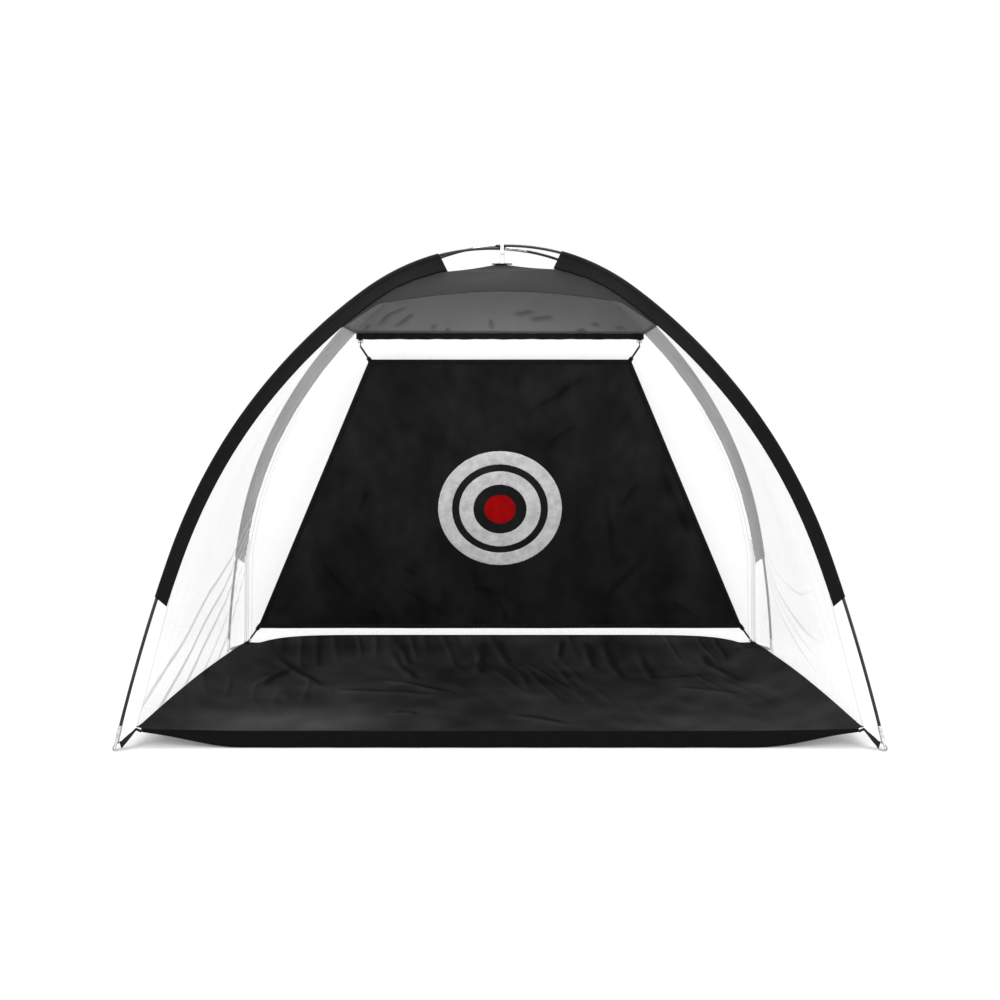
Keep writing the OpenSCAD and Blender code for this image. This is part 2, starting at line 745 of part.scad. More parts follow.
module corner_strap(sx, sy) {
    base = foot(sx, sy);
    to = floor_corner(sx, sy) - base;
    reach = norm([to.x, to.y]);
    roll = sx * sy * corner_roll;
    ahead = [cos(corner_tilt), 0, sin(corner_tilt)];
    bar_way = [0, cos(roll), sin(roll)] * [[1, 0, 0], [0, 1, 0], [-ahead.z, 0, ahead.x]];
    off = cross(ahead, bar_way);
    bar_at = [0, 0, corner_ring_z] + corner_bar * ahead;
    eye_r = corner_wire_r + ring_gap + strap_t / 2;
    under = strap_floor_gap + strap_t / 2 + floor_t / 2;
    function below(d) = [reach + d, 0, floor_corner(sx, sy).z * near_edge(d) - under];
    leave = bar_at + eye_r * (1.1 * ahead + 1.2 * off);
    // Each row: its middle, and how much of the bar's roll its width still has.
    rows = concat(
        [for (a = [-60:-30:-270]) [bar_at + eye_r * (cos(a) * ahead + sin(a) * off), 1]],
        [[leave, 1]],
        [for (q = [0.25:0.25:0.75]) [mix(leave, below(0), q), 1 - ease(q)]],
        [for (d = [0, strap_tail / 2, strap_tail]) [below(d), 0]]);
    at_foot(sx, sy)
        sheet([
            for (r = rows)
                let(across = unit(mix([0, 1, 0], bar_way, r[1])) * strap_w / 2)
                    [r[0] - across, r[0] + across]], strap_t);
}

module corner_straps() {
    color(BLACK)
        for (c = CORNERS)
            corner_strap(c[0], c[1]);
}

// ---- rings, loops and hooks of the target ----

ring_wire_r = ring_wire / 2;
hook_wire_r = hook_wire / 2;
small_w = 15;
small_h = 9;
hem_loop_out = 7;
hook_x = hem_end.x - hook_in;
axis_y = hem_y - hem_loop_out;
axis_z = hem_bottom - ring_wire_r - 0.6 - small_h;
axis = [0, axis_y, axis_z];
hook_r = ring_wire_r + ring_gap + hook_wire_r;

// Rectangular wire ring with its lower bar on the origin, along X.
module small_ring() {
    for (z = [0, small_h])
        bar([-small_w / 2, 0, z], [small_w / 2, 0, z], ring_wire_r);
    for (side = [-1, 1]) {
        bar([side * small_w / 2, 0, 0], [side * small_w / 2, 0, small_h], ring_wire_r);
        for (z = [0, small_h])
            translate([side * small_w / 2, 0, z])
                sphere(r = ring_wire_r, $fn = 24);
    }
}

// Webbing eye round a bar on the origin, drawn in the YZ plane, with a tail to the points given.
loop_eye_r = ring_wire_r + ring_gap + strap_t / 2;
small_loop_w = small_w - ring_wire - 2;

module webbing_loop(angles, tail) {
    rotate([90, 0, 90])
        linear_extrude(small_loop_w, center = true)
            polygon(band(concat([for (a = angles) loop_eye_r * [cos(a), sin(a)]], tail), strap_t));
}

// Hook: a wire round a bar on the origin, with a shank down to a ball that holds the cord.
shank = 14;
hook_ball_r = cord_d / 2 + 0.6;
cord_seat = hook_ball_r + 0.3;

module hook() {
    rotate([90, 0, 90])
        rotate([0, 0, -90])
            rotate_extrude(angle = 290, $fn = 64)
                translate([hook_r, 0])
                    circle(r = hook_wire_r, $fn = 24);
    bar([0, 0, -hook_r], [0, 0, -shank], hook_wire_r);
    translate([0, 0, -shank])
        sphere(r = hook_ball_r, $fn = 32);
}

module hem_rings() {
    color(STEEL)
        for (side = [LEFT, RIGHT])
            translate([side * hook_x, axis_y, axis_z])
                small_ring();
}

// Loops round the rings' upper bars, sewn to the front of the hem tape.
module hem_loops() {
    back = hem_loop_out - hem_tape_t / 2 - strap_t / 2 - 0.3;
    color(BLACK)
        for (side = [LEFT, RIGHT])
            translate([side * hook_x, axis_y, axis_z + small_h])
                webbing_loop([for (a = [-30:-30:-270]) a], [
                    [back, loop_eye_r + 3], [back, loop_eye_r + hem_tape_h - 2]]);
}

// ---- target ----

bottom_line = [net_d / 2 - corner_in_y - target_setback, target_clear];
tilt = atan2(bottom_line[0] - axis_y, axis_z - bottom_line[1]);
target_bottom = norm([bottom_line[0] - axis_y, axis_z - bottom_line[1]]);
top_half = hook_x - cord_splay;
bottom_half = net_w / 2 - corner_in_back - target_side_gap;
side_slope = (bottom_half - top_half) / (target_bottom - target_drop);
binding_t = target_t + 1.6;
bull_at = target_bottom - bull_up;

// A point of the target's plane in the net's own frame, and the other way round.
function from_target(p) = axis + [p.x, p.y * -sin(tilt), p.y * cos(tilt)];
function in_plane(p) = let(v = p - axis) [v.x, v.z * cos(tilt) - v.y * sin(tilt)];
loop_in = [-13, -12, 3.5];
ring_foot = floor_corner(RIGHT, BACK) + loop_in;

// Draws in the target's own plane: X across, -Y down the cloth, +Z out of its front.
module in_target() {
    translate(axis)
        rotate([90 + tilt, 0, 0])
            children();
}

// The target's outline, grown by a margin.
function outline(grow) =
    let(side = grow * norm([1, side_slope]),
        wide_top = top_half + side - side_slope * grow,
        wide_bottom = bottom_half + side + side_slope * grow)
        [
            [-wide_top, -target_drop + grow], [wide_top, -target_drop + grow],
            [wide_bottom, -target_bottom - grow], [-wide_bottom, -target_bottom - grow]];

module target_cloth() {
    color(BLACK)
        in_target()
            linear_extrude(target_t, center = true)
                polygon(outline(0));
}

module target_binding() {
    color([0.05, 0.05, 0.05])
        in_target()
            difference() {
                linear_extrude(binding_t, center = true)
                    polygon(outline(0.9));
                linear_extrude(target_t + 0.2, center = true)
                    polygon(outline(0.2));
                linear_extrude(2 * binding_t, center = true)
                    polygon(outline(-binding_w));
            }
}

module target_disc(outer, inner) {
    in_target()
        translate([0, -bull_at, target_t / 2 + 0.06])
            difference() {
                cylinder(h = print_t, r = outer, $fn = 96);
                if (inner > 0)
                    translate([0, 0, -1])
                        cylinder(h = print_t + 2, r = inner, $fn = 96);
            }
}

inner_ring_r = ring_r - ring_w - ring_space;

module target_outer_ring() {
    color("lightgray")
        target_disc(ring_r, ring_r - ring_w);
}

module target_inner_ring() {
    color("lightgray")
        target_disc(inner_ring_r, inner_ring_r - ring_w);
}

module target_bullseye() {
    color("crimson")
        target_disc(bull_r, 0);
}

// Sewn tab over each corner, which the cord's end meets.
tab_w = 14;
tab_in = 16;
tab_out = 9;
tab_t = 6;
top_corner = [top_half, -target_drop];
bottom_corner = [bottom_half, -target_bottom];
top_hook_end = [hook_x, -shank];
top_way = unit(top_hook_end - top_corner);
bottom_reach = in_plane(ring_foot) - bottom_corner;
bottom_way = unit(bottom_reach);

module tab(corner, way) {
    translate(corner)
        rotate([0, 0, atan2(way.y, way.x)])
            translate([-tab_in, -tab_w / 2, -tab_t / 2])
                cube([tab_in + tab_out, tab_w, tab_t]);
}

module target_tabs() {
    color([0.05, 0.05, 0.05])
        in_target()
            difference() {
                for (side = [0, 1])
                    mirror([side, 0, 0]) {
                        tab(top_corner, top_way);
                        tab(bottom_corner, bottom_way);
                    }
                linear_extrude(binding_t + 0.4, center = true)
                    polygon(outline(1.1));
            }
}

module top_hooks() {
    color([0.15, 0.15, 0.16])
        in_target()
            for (side = [LEFT, RIGHT])
                translate([side * hook_x, 0, 0])
                    rotate([-90, 0, 0])
                        hook();
}

module top_cords() {
    end = top_corner + top_way * (tab_out + 0.3);
    start = top_hook_end - top_way * cord_seat;
    color(BLACK)
        in_target()
            for (side = [0, 1])
                mirror([side, 0, 0])
                    bar([end.x, end.y, 0], [start.x, start.y, 0], cord_d / 2);
}

// ---- lower hooks and cords ----

cord_start = from_target(bottom_corner + bottom_way * (tab_out + 0.3));
pull = unit(cord_start - ring_foot);
floor_hook_at = ring_foot + pull * small_h;
hook_end = floor_hook_at + pull * shank;

// Draws with Z along a direction and X level.
module facing(at, z) {
    x = unit(cross([0, 0, 1], z));
    y = cross(z, x);
    multmatrix([[x.x, y.x, z.x, at.x], [x.y, y.y, z.y, at.y], [x.z, y.z, z.z, at.z], [0, 0, 0, 1]])
        children();
}

module floor_rings() {
    color(STEEL)
        for (side = [0, 1])
            mirror([side, 0, 0])
                facing(ring_foot, pull)
                    small_ring();
}

// Loops that hold the lower rings, sewn on top of the floor's back corners.
loop_floor_gap = 0.9;

module floor_loops() {
    level = unit([pull.x, pull.y, 0]);
    seat = -loop_in.z + floor_t / 2 + loop_floor_gap + strap_t / 2;
    color(BLACK)
        for (side = [0, 1])
            mirror([side, 0, 0])
                translate(ring_foot)
                    rotate([0, 0, atan2(level.x, -level.y)])
                        webbing_loop(
                            [for (a = [30:30:270]) a],
                            [[5, seat - 0.4], [7, seat], [10, seat]]);
}

module bottom_hooks() {
    color([0.15, 0.15, 0.16])
        for (side = [0, 1])
            mirror([side, 0, 0])
                facing(floor_hook_at, -pull)
                    hook();
}

module bottom_cords() {
    color(BLACK)
        for (side = [0, 1])
            mirror([side, 0, 0])
                bar(hook_end + pull * cord_seat, cord_start, cord_d / 2);
}

// ---- nodes ----

pole_section("a", 1);  // pole_a_section_1
pole_section("a", 2);  // pole_a_section_2
pole_section("a", 3);  // pole_a_section_3
pole_section("a", 4);  // pole_a_section_4
pole_section("a", 5);  // pole_a_section_5
pole_section("a", 6);  // pole_a_section_6
pole_section("a", 7);  // pole_a_section_7
pole_section("a", 8);  // pole_a_section_8
pole_section("b", 1);  // pole_b_section_1
pole_section("b", 2);  // pole_b_section_2
pole_section("b", 3);  // pole_b_section_3
pole_section("b", 4);  // pole_b_section_4
pole_section("b", 5);  // pole_b_section_5
pole_section("b", 6);  // pole_b_section_6
pole_section("b", 7);  // pole_b_section_7
pole_section("b", 8);  // pole_b_section_8
pole_ferrules("a");  // pole_a_ferrules
pole_ferrules("b");  // pole_b_ferrules
shock_cord("a");  // pole_a_shock_cord
shock_cord("b");  // pole_b_shock_cord
pole_tip(LEFT, FRONT);  // pole_tip_front_left
pole_tip(RIGHT, FRONT);  // pole_tip_front_right
pole_tip(LEFT, BACK);  // pole_tip_back_left
pole_tip(RIGHT, BACK);  // pole_tip_back_right
sleeve(LEFT, FRONT);  // sleeve_front_left
sleeve(RIGHT, FRONT);  // sleeve_front_right
sleeve(LEFT, BACK);  // sleeve_back_left
sleeve(RIGHT, BACK);  // sleeve_back_right
roof_front();
roof_back();
roof_left();
roof_right();
roof_back_hem();
peak_patch();
peak_loop();
apex_clip();
net_side(LEFT);  // net_left
net_side(RIGHT);  // net_right
net_back();
floor_cloth();
floor_front_hem();
corner_straps();
corner_rings();
hem_loops();
hem_rings();
top_hooks();
top_cords();
floor_loops();
floor_rings();
bottom_hooks();
bottom_cords();
target_cloth();
target_binding();
target_outer_ring();
target_inner_ring();
target_bullseye();
target_tabs();
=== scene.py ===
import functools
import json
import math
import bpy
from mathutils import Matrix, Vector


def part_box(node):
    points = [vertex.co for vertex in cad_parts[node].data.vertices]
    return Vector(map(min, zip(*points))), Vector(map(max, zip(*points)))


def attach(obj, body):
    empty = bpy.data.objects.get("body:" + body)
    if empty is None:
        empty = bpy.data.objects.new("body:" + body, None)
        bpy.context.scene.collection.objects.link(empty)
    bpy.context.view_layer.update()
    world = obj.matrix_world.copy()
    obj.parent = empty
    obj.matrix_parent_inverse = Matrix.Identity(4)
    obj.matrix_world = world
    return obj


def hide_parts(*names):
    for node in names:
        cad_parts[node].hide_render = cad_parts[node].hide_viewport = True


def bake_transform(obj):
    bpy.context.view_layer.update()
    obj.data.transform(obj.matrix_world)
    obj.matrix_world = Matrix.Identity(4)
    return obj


bl_info = {
    "name": "Chipping net",
    "version": (1, 0, 0),
    "blender": (4, 5, 0),
    "location": "View3D > Sidebar > Chipping net",
    "description": "Dresses the chipping net's frame with its cloth, nets, target and cords",
    "category": "Object",
}

import bmesh
import bpy
from mathutils import Vector, noise

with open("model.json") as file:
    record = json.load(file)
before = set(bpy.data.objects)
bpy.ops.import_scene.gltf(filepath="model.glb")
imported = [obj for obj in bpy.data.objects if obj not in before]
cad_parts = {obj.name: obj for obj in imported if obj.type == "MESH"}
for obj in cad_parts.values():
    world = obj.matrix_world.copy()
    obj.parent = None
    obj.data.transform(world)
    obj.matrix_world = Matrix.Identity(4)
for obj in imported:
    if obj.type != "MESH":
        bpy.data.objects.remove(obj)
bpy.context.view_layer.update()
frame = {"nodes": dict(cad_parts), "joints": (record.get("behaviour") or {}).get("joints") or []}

LEFT, RIGHT, FRONT, BACK = -1, 1, -1, 1
CORNERS = {
    "front_left": (LEFT, FRONT),
    "front_right": (RIGHT, FRONT),
    "back_left": (LEFT, BACK),
    "back_right": (RIGHT, BACK),
}
SIDES = {"left": LEFT, "right": RIGHT}


# ---- numbers that a user may change ----


class NetSizes(bpy.types.PropertyGroup):
    """Sizes of the net's cloth, mesh and cords."""

    cloth: bpy.props.FloatProperty(
        name="Cloth", description="Thickness of the roof and floor cloth",
        default=0.0008, unit="LENGTH")
    webbing: bpy.props.FloatProperty(
        name="Webbing", description="Thickness of the straps and tapes",
        default=0.0015, unit="LENGTH")
    mesh: bpy.props.FloatProperty(
        name="Mesh", description="Thickness of the nets",
        default=0.0006, unit="LENGTH")
    mesh_hole: bpy.props.FloatProperty(
        name="Mesh hole", description="Width of a hole in the nets",
        default=0.0034, unit="LENGTH")
    mesh_cover: bpy.props.FloatProperty(
        name="Mesh cover", description="Share of the nets' area that is thread",
        default=0.2, subtype="FACTOR", min=0, max=1)
    weave: bpy.props.FloatProperty(
        name="Weave", description="Distance between threads of the cloth",
        default=0.0014, unit="LENGTH")
    crease: bpy.props.FloatProperty(
        name="Crease", description="Height of the roof's creases",
        default=0.0042, unit="LENGTH")
    net_fold: bpy.props.FloatProperty(
        name="Net fold", description="Depth of the folds in the nets",
        default=0.005, unit="LENGTH")
    floor_fold: bpy.props.FloatProperty(
        name="Floor fold", description="Height of the folds in the floor cloth",
        default=0.0042, unit="LENGTH")
    cord: bpy.props.FloatProperty(
        name="Cord", description="Diameter of the target's elastic cords",
        default=0.0068, unit="LENGTH")
    pile: bpy.props.FloatProperty(
        name="Pile", description="Height of the rings' pile on the target",
        default=0.0012, unit="LENGTH")


class NetColours(bpy.types.PropertyGroup):
    """Colours of the net's materials."""

    sleeve: bpy.props.FloatVectorProperty(
        name="Sleeve", description="Cloth of the pole sleeves",
        default=(0.0105, 0.0105, 0.011), subtype="COLOR")
    roof_outside: bpy.props.FloatVectorProperty(
        name="Roof outside", description="Outer side of the roof cloth",
        default=(0.019, 0.019, 0.0199), subtype="COLOR")
    # The inner side is much paler than the outside. This is painted light, standing for light that
    # shines through the thin cloth.
    roof_inside_painted_backlight: bpy.props.FloatVectorProperty(
        name="Roof inside", description="Coated inner side of the roof cloth, painted paler with light shining through",
        default=(0.2, 0.2, 0.204), subtype="COLOR")
    floor: bpy.props.FloatVectorProperty(
        name="Floor", description="Floor cloth",
        default=(0.052, 0.052, 0.0545), subtype="COLOR")
    target: bpy.props.FloatVectorProperty(
        name="Target", description="Target cloth",
        default=(0.012, 0.012, 0.0126), subtype="COLOR")
    rings: bpy.props.FloatVectorProperty(
        name="Rings", description="Pile of the two rings",
        default=(0.63, 0.63, 0.637), subtype="COLOR")
    centre: bpy.props.FloatVectorProperty(
        name="Centre", description="Pile of the red centre",
        default=(0.36, 0.001, 0.002), subtype="COLOR")
    mesh: bpy.props.FloatVectorProperty(
        name="Mesh", description="Thread of the nets",
        default=(0.95, 0.95, 0.96), subtype="COLOR")
    webbing: bpy.props.FloatVectorProperty(
        name="Webbing", description="Straps, tapes and bindings",
        default=(0.010, 0.010, 0.011), subtype="COLOR")
    pole: bpy.props.FloatVectorProperty(
        name="Pole", description="Resin of the pole sections",
        default=(0.012, 0.012, 0.013), subtype="COLOR")
    steel: bpy.props.FloatVectorProperty(
        name="Steel", description="Ferrules, tips and rings",
        default=(0.55, 0.55, 0.57), subtype="COLOR")


def sizes():
    return bpy.context.scene.net_sizes


def colours():
    return bpy.context.scene.net_colours


# ---- shader maths ----


class Value:
    """A socket that takes part in shader maths."""

    def __init__(self, nodes, socket):
        self.nodes = nodes
        self.socket = socket

    def __add__(self, other):
        return self.nodes.maths("ADD", self, other)

    def __radd__(self, other):
        return self.nodes.maths("ADD", other, self)

    def __sub__(self, other):
        return self.nodes.maths("SUBTRACT", self, other)

    def __rsub__(self, other):
        return self.nodes.maths("SUBTRACT", other, self)

    def __mul__(self, other):
        return self.nodes.maths("MULTIPLY", self, other)

    def __rmul__(self, other):
        return self.nodes.maths("MULTIPLY", other, self)

    def __gt__(self, other):
        return self.nodes.maths("GREATER_THAN", self, other)

    def __lt__(self, other):
        return self.nodes.maths("LESS_THAN", self, other)


class Nodes:
    """A node tree that shader maths adds its nodes to."""

    def __init__(self, tree):
        self.tree = tree

    def add(self, kind, settings=None, inputs=None, output=0):
        """A new node with its settings and inputs; gives its output, if it has one."""
        node = self.tree.nodes.new(kind)
        for key, value in (settings or {}).items():
            if key == "stops":
                ramp = node.color_ramp
                while len(ramp.elements) < len(value):
                    ramp.elements.new(1.0)
                for stop, (place, colour) in zip(ramp.elements, value):
                    stop.position = place
                    stop.color = colour
            else:
                setattr(node, key, value)
        for key, value in (inputs or {}).items():
            if isinstance(value, Value):
                self.tree.links.new(value.socket, node.inputs[key])
            else:
                node.inputs[key].default_value = value
        return Value(self, node.outputs[output]) if node.outputs else None

    def maths(self, operation, a, b=0.0):
        return self.add("ShaderNodeMath", {"operation": operation}, {0: a, 1: b})

    def coordinates(self, source, scale=(1, 1, 1)):
        place = self.add("ShaderNodeTexCoord", output=source)
        return self.add("ShaderNodeMapping", inputs={"Vector": place, "Scale": scale})

    def axes(self, place):
        node = self.add("ShaderNodeSeparateXYZ", inputs={0: place}).socket.node
        return [Value(self, node.outputs[i]) for i in range(3)]

    def cloud(self, place, scale, detail, roughness=0.5):
        return self.add("ShaderNodeTexNoise", inputs={
            "Vector": place, "Scale": scale, "Detail": detail, "Roughness": roughness})

    def wave(self, value, period):
        return self.maths("SINE", value * (2 * math.pi / period))

    def ramp(self, value, stops):
        """A grey for each value; stops are places along the values and how pale each is."""
        greys = [(place, (grey, grey, grey, 1)) for place, grey in stops]
        return self.add("ShaderNodeValToRGB", {"stops": greys}, {0: value})

    def blend(self, factor, a, b):
        """From colour a to colour b. A Mix node keeps its colours in sockets 6 and 7."""
        a, b = (c if isinstance(c, Value) else (*c, 1) for c in (a, b))
        return self.add("ShaderNodeMix", {"data_type": "RGBA"}, {"Factor": factor, 6: a, 7: b}, 2)

    def toned(self, value, span, colour, shades):
        """From a darker to a paler shade of a colour while the value crosses span."""
        tone = self.ramp(value, [(span[0], 0.0), (span[1], 1.0)])
        return self.blend(tone, *(shade(colour, amount) for amount in shades))

    def bump(self, height, distance, strength, under=None):
        inputs = {"Height": height, "Distance": distance, "Strength": strength}
        if under is not None:
            inputs["Normal"] = under
        return self.add("ShaderNodeBump", inputs=inputs)

    def painted(self, name):
        """A number that the piece's own mesh carries at each of its points."""
        return self.add("ShaderNodeAttribute", {"attribute_name": name}, output="Fac")

    def rays(self, first, *others):
        """1 for rays of these kinds and 0 for all other rays."""
        node = self.add("ShaderNodeLightPath").socket.node
        any_of = Value(self, node.outputs[f"Is {first} Ray"])
        for kind in others:
            any_of = self.maths("MAXIMUM", any_of, Value(self, node.outputs[f"Is {kind} Ray"]))
        return any_of


class Finish(Nodes):
    """A material whose surface is one Principled shader."""

    def __init__(self, name, **constants):
        self.material = bpy.data.materials.new(name)
        self.material.use_nodes = True
        super().__init__(self.material.node_tree)
        self.surface = next(n for n in self.tree.nodes if n.type == "BSDF_PRINCIPLED")
        for key, value in constants.items():
            self.surface.inputs[key.replace("_", " ")].default_value = value

    def feed(self, name, value):
        self.tree.links.new(value.socket, self.surface.inputs[name])


def shade(colour, amount):
    return tuple(min(1.0, c * amount) for c in colour)


def woven_finish(
        name, colour, lift, drop=0.7, rough=0.7, sheen=0.08, crease=0.0, gloss=0.25, deep=0.45):
    """Plain weave: over and under threads, worn and soiled patches, and soft creases. lift and drop
    are the palest and the darkest shade, deep is how dark the painted shade of a fold gets beyond
    that."""
    f = Finish(name, Sheen_Weight=sheen, Sheen_Roughness=0.45, Specular_IOR_Level=gloss)
    period = sizes().weave
    u, v, _ = f.axes(f.coordinates("UV"))
    threads = f.wave(u, period) * f.wave(v, period)
    slub = f.cloud(f.coordinates("UV", (30, 900, 1)), 1.0, 3.0)
    patch = f.cloud(f.coordinates("Object"), 5.0, 4.0, 0.6)
    cloth = f.toned(patch * 0.7 + slub * 0.3, (0.3, 0.7), colour, (drop, lift))
    # Painted shade: the fold number darkens the cloth in folds and creases.
    f.feed("Base Color", f.blend(f.painted("fold"), cloth, shade(colour, drop * deep)))
    f.feed("Roughness", patch * 0.16 + (rough - 0.08))
    normal = f.bump(threads, period * 0.25, 0.5)
    if crease:
        normal = f.bump(f.cloud(f.coordinates("Object"), 14.0, 5.0, 0.62), crease, 0.8, normal)
    f.feed("Normal", normal)
    return f


def webbing_finish(name, colour, rib):
    """Ribbed webbing: ribs across it, a rib's distance apart, yarn along it, and paler worn spots."""
    f = Finish(name, Sheen_Weight=0.02, Specular_IOR_Level=0.08)
    u, v, _ = f.axes(f.coordinates("UV"))
    ribs = f.wave(v, rib)
    yarn = f.wave(u, rib * 0.6)
    wear = f.cloud(f.coordinates("Object"), 60.0, 4.0, 0.65)
    f.feed("Base Color", f.toned(wear + ribs * 0.12, (0.35, 0.8), colour, (0.7, 2.0)))
    f.feed("Roughness", wear * 0.2 + 0.68)
    f.feed("Normal", f.bump(ribs + yarn * 0.35, 0.0004, 0.7))
    return f


def braid_finish(name, colour):
    """Braided cover of an elastic cord: crossing strands that run round it."""
    f = Finish(name, Sheen_Weight=0.08, Specular_IOR_Level=0.25)
    place = f.coordinates("UV")
    u, v, _ = f.axes(place)
    strands = f.wave(u + v, 0.0032) * f.wave(u - v, 0.0032)
    fleck = f.cloud(place, 900.0, 2.0)
    f.feed("Base Color", f.toned(strands * 0.4 + fleck, (0.3, 0.8), colour, (0.6, 2.2)))
    f.feed("Roughness", fleck * 0.2 + 0.6)
    f.feed("Normal", f.bump(strands, 0.0004, 0.8))
    return f


def steel_finish(name, colour, rough=0.28):
    """Drawn steel: fine lines along it, dull spots and light scratches."""
    f = Finish(name, Metallic=1.0)
    grain = f.cloud(f.coordinates("Object", (40, 40, 900)), 3.0, 3.0)
    spots = f.cloud(f.coordinates("Object"), 70.0, 5.0, 0.6)
    f.feed("Base Color", f.toned(spots, (0.4, 0.65), colour, (0.72, 1.2)))
    f.feed("Roughness", grain * 0.18 + spots * 0.12 + (rough - 0.14))
    f.feed("Normal", f.bump(grain, 0.0001, 0.4))
    return f


def resin_finish(name, colour, rough=0.36):
    """Ground fibreglass rod or coated wire: faint fibres along it and rubbed places."""
    f = Finish(name, Coat_Weight=0.1, Coat_Roughness=0.25, Specular_IOR_Level=0.35)
    fibres = f.cloud(f.coordinates("Object", (30, 30, 500)), 2.0, 3.0)
    rubbed = f.cloud(f.coordinates("Object"), 22.0, 5.0, 0.65)
    f.feed("Base Color", f.toned(rubbed, (0.45, 0.8), colour, (1.0, 3.2)))
    f.feed("Roughness", rubbed * 0.2 + fibres * 0.12 + (rough - 0.14))
    f.feed("Normal", f.bump(fibres, 0.0001, 0.5))
    return f


def plastic_finish(name, colour):
    """Moulded plastic with a fine grain and a slight yellowing."""
    f = Finish(name)
    place = f.coordinates("Object")
    tone = f.cloud(place, 120.0, 3.0)
    f.feed("Base Color", f.blend(tone, shade(colour, 0.93), shade(colour, 1.04)))
    f.feed("Roughness", tone * 0.15 + 0.28)
    f.feed("Normal", f.bump(f.cloud(place, 900.0, 2.0), 0.0001, 0.3))
    return f


def pile_finish(name, colour, low=0.8):
    """Short looped pile: tufts that catch the light, with darker gaps."""
    f = Finish(name, Sheen_Weight=0.02, Sheen_Roughness=0.6, Specular_IOR_Level=0.05, Roughness=0.92)
    place = f.coordinates("Object")
    tufts = f.cloud(place, 420.0, 3.0, 0.7)
    mottle = f.cloud(place, 38.0, 4.0, 0.6)
    tone = tufts * 0.3 + mottle * 0.7
    f.feed("Base Color", f.toned(tone, (0.36, 0.62), colour, (low, 1.18)))
    f.feed("Normal", f.bump(tufts + mottle * 0.6, 0.0012, 0.9))
    return f


def mesh_finish(name, colour, strips, fan=None):
    """Fine knitted mesh: rows of six-sided holes between white threads, which let light through; the
    threads glow a little with painted light. strips are (from, to, first v, strength) across u, where
    the mesh is denser and its thread darkened with painted shade. fan is a middle, a bend, the angles
    at which painted folds run out from that middle, their width and how far they reach; along them
    the thread is denser and darkened with painted shade."""
    # The white emission is painted light: a glow that brightens the thread as if light came through
    # it.
    f = Finish(name, Specular_IOR_Level=0.15, Roughness=0.9, Emission_Strength=0.28)
    f.surface.inputs["Emission Color"].default_value = (1, 1, 1, 1)
    hole = sizes().mesh_hole
    u, v, _ = f.axes(f.coordinates("UV"))
    cells = f.wave(u, hole) + f.wave(u * 0.5 + v * 0.866, hole) + f.wave(v * 0.866 - u * 0.5, hole)
    cloud = f.cloud(f.coordinates("Object"), 6.0, 3.0)
    thread = f.blend(cloud, shade(colour, 0.96), shade(colour, 1.03))
    dense = cloud * 0.05 + (sizes().mesh_cover - 0.025)
    if fan:
        (middle_u, middle_v), bend, lines, width, reach = fan
        across = middle_u - u
        down = v - middle_v
        far = f.maths("SQRT", across * across + down * down)
        waver = f.cloud(f.coordinates("UV"), 4.0, 2.0) * 0.02 - 0.01
        angle = f.maths("ARCTAN2", down, across) + far * bend + waver
        stops = []
        for at, strength in lines:
            stops += [(at - width, 0.0), (at, strength), (at + 0.7 * width, 0.0)]
        folds = f.ramp(angle * (2 / math.pi), stops)
        folds = folds * f.ramp(v, [(0.6, 0.0), (0.72, 1.0)])
        folds = folds * f.ramp(far * 0.5, [(reach * 0.35, 1.0), (reach * 0.5, 0.0)])
        # Painted shade: the thread is darkened along the folds.
        thread = f.blend(folds, thread, shade(colour, 0.2))
        dense = dense + folds * 0.5
    for low, high, first, strength in strips:
        strip = (u > low) * (u < high) * (v > first) * strength
        # Painted shade: the thread is darkened along the strips.
        thread = f.blend(strip, thread, shade(colour, 0.45))
        dense = dense + strip * 0.35
    f.feed("Base Color", thread)
    f.feed("Alpha", cells * 0.06 + dense)
    return f


# ---- curve of the poles, in metres, as the frame has it ----

# Degrees that each quarter of a leg bends by, from the crossing down.
BENDS = (36.0, 17.0, 21.0, 8.0)
HALF_WIDTH, HALF_DEPTH, CROSSING = 1.0, 0.5, 1.4
PLAN_BOW = 0.28
# Radii of a foot's pin and of a pole. The poles lie on each other with a gap, and are in one level
# from STACK_END on.
PIN, POLE = 0.0025, 0.00425
STACK_GAP, STACK_END = 0.0004, 0.5
# Places along a leg, as shares of it: the ends of a sleeve, the hems of the roof, and what a metre
# is of it.
SLEEVE_START, SLEEVE_END = 0.11, 0.8
HEM, FRONT_HEM_SIDE, FRONT_HEM_MIDDLE = 0.318, 0.259, 0.218
T_PER_METRE = 0.4887
# A sleeve's width at its two ends, how much of it is pocket, how far the roof's peak pulls it and
# the slant of its ends.
SLEEVE_TOP, SLEEVE_FOOT, POCKET = 0.054, 0.04, 0.0086
PEAK_PULL, PEAK_PULL_END = 0.007, 0.1
FOOT_SLANT = 0.5
PEAK = Vector((0, 0, CROSSING - 0.053))
PEAK_SAG = 0.003
FLOOR_DEPTH = HALF_DEPTH - 0.02
FLOOR_WIDTH = {FRONT: HALF_WIDTH - 0.047, BACK: HALF_WIDTH - 0.066}
CORNER_HEIGHT = {FRONT: 0.05, BACK: 0.042}


def bend_table():
    """Each quarter's start angle, bend, run and fall, and a whole leg's run and fall."""
    turned, run, fall = 0.0, 0.0, 0.0
    table = []
    for bend in (math.radians(b) for b in BENDS):
        table.append((turned, bend, run, fall))
        run += (math.sin(turned + bend) - math.sin(turned)) / bend
        fall += (math.cos(turned) - math.cos(turned + bend)) / bend
        turned += bend
    return table, run, fall


QUARTERS, RUN, FALL = bend_table()


def clamp(x, low=0.0, high=1.0):
    return max(low, min(high, x))


def ease(x):
    x = clamp(x)
    return x * x * (3 - 2 * x)


def mix(a, b, q):
    return a + (b - a) * q


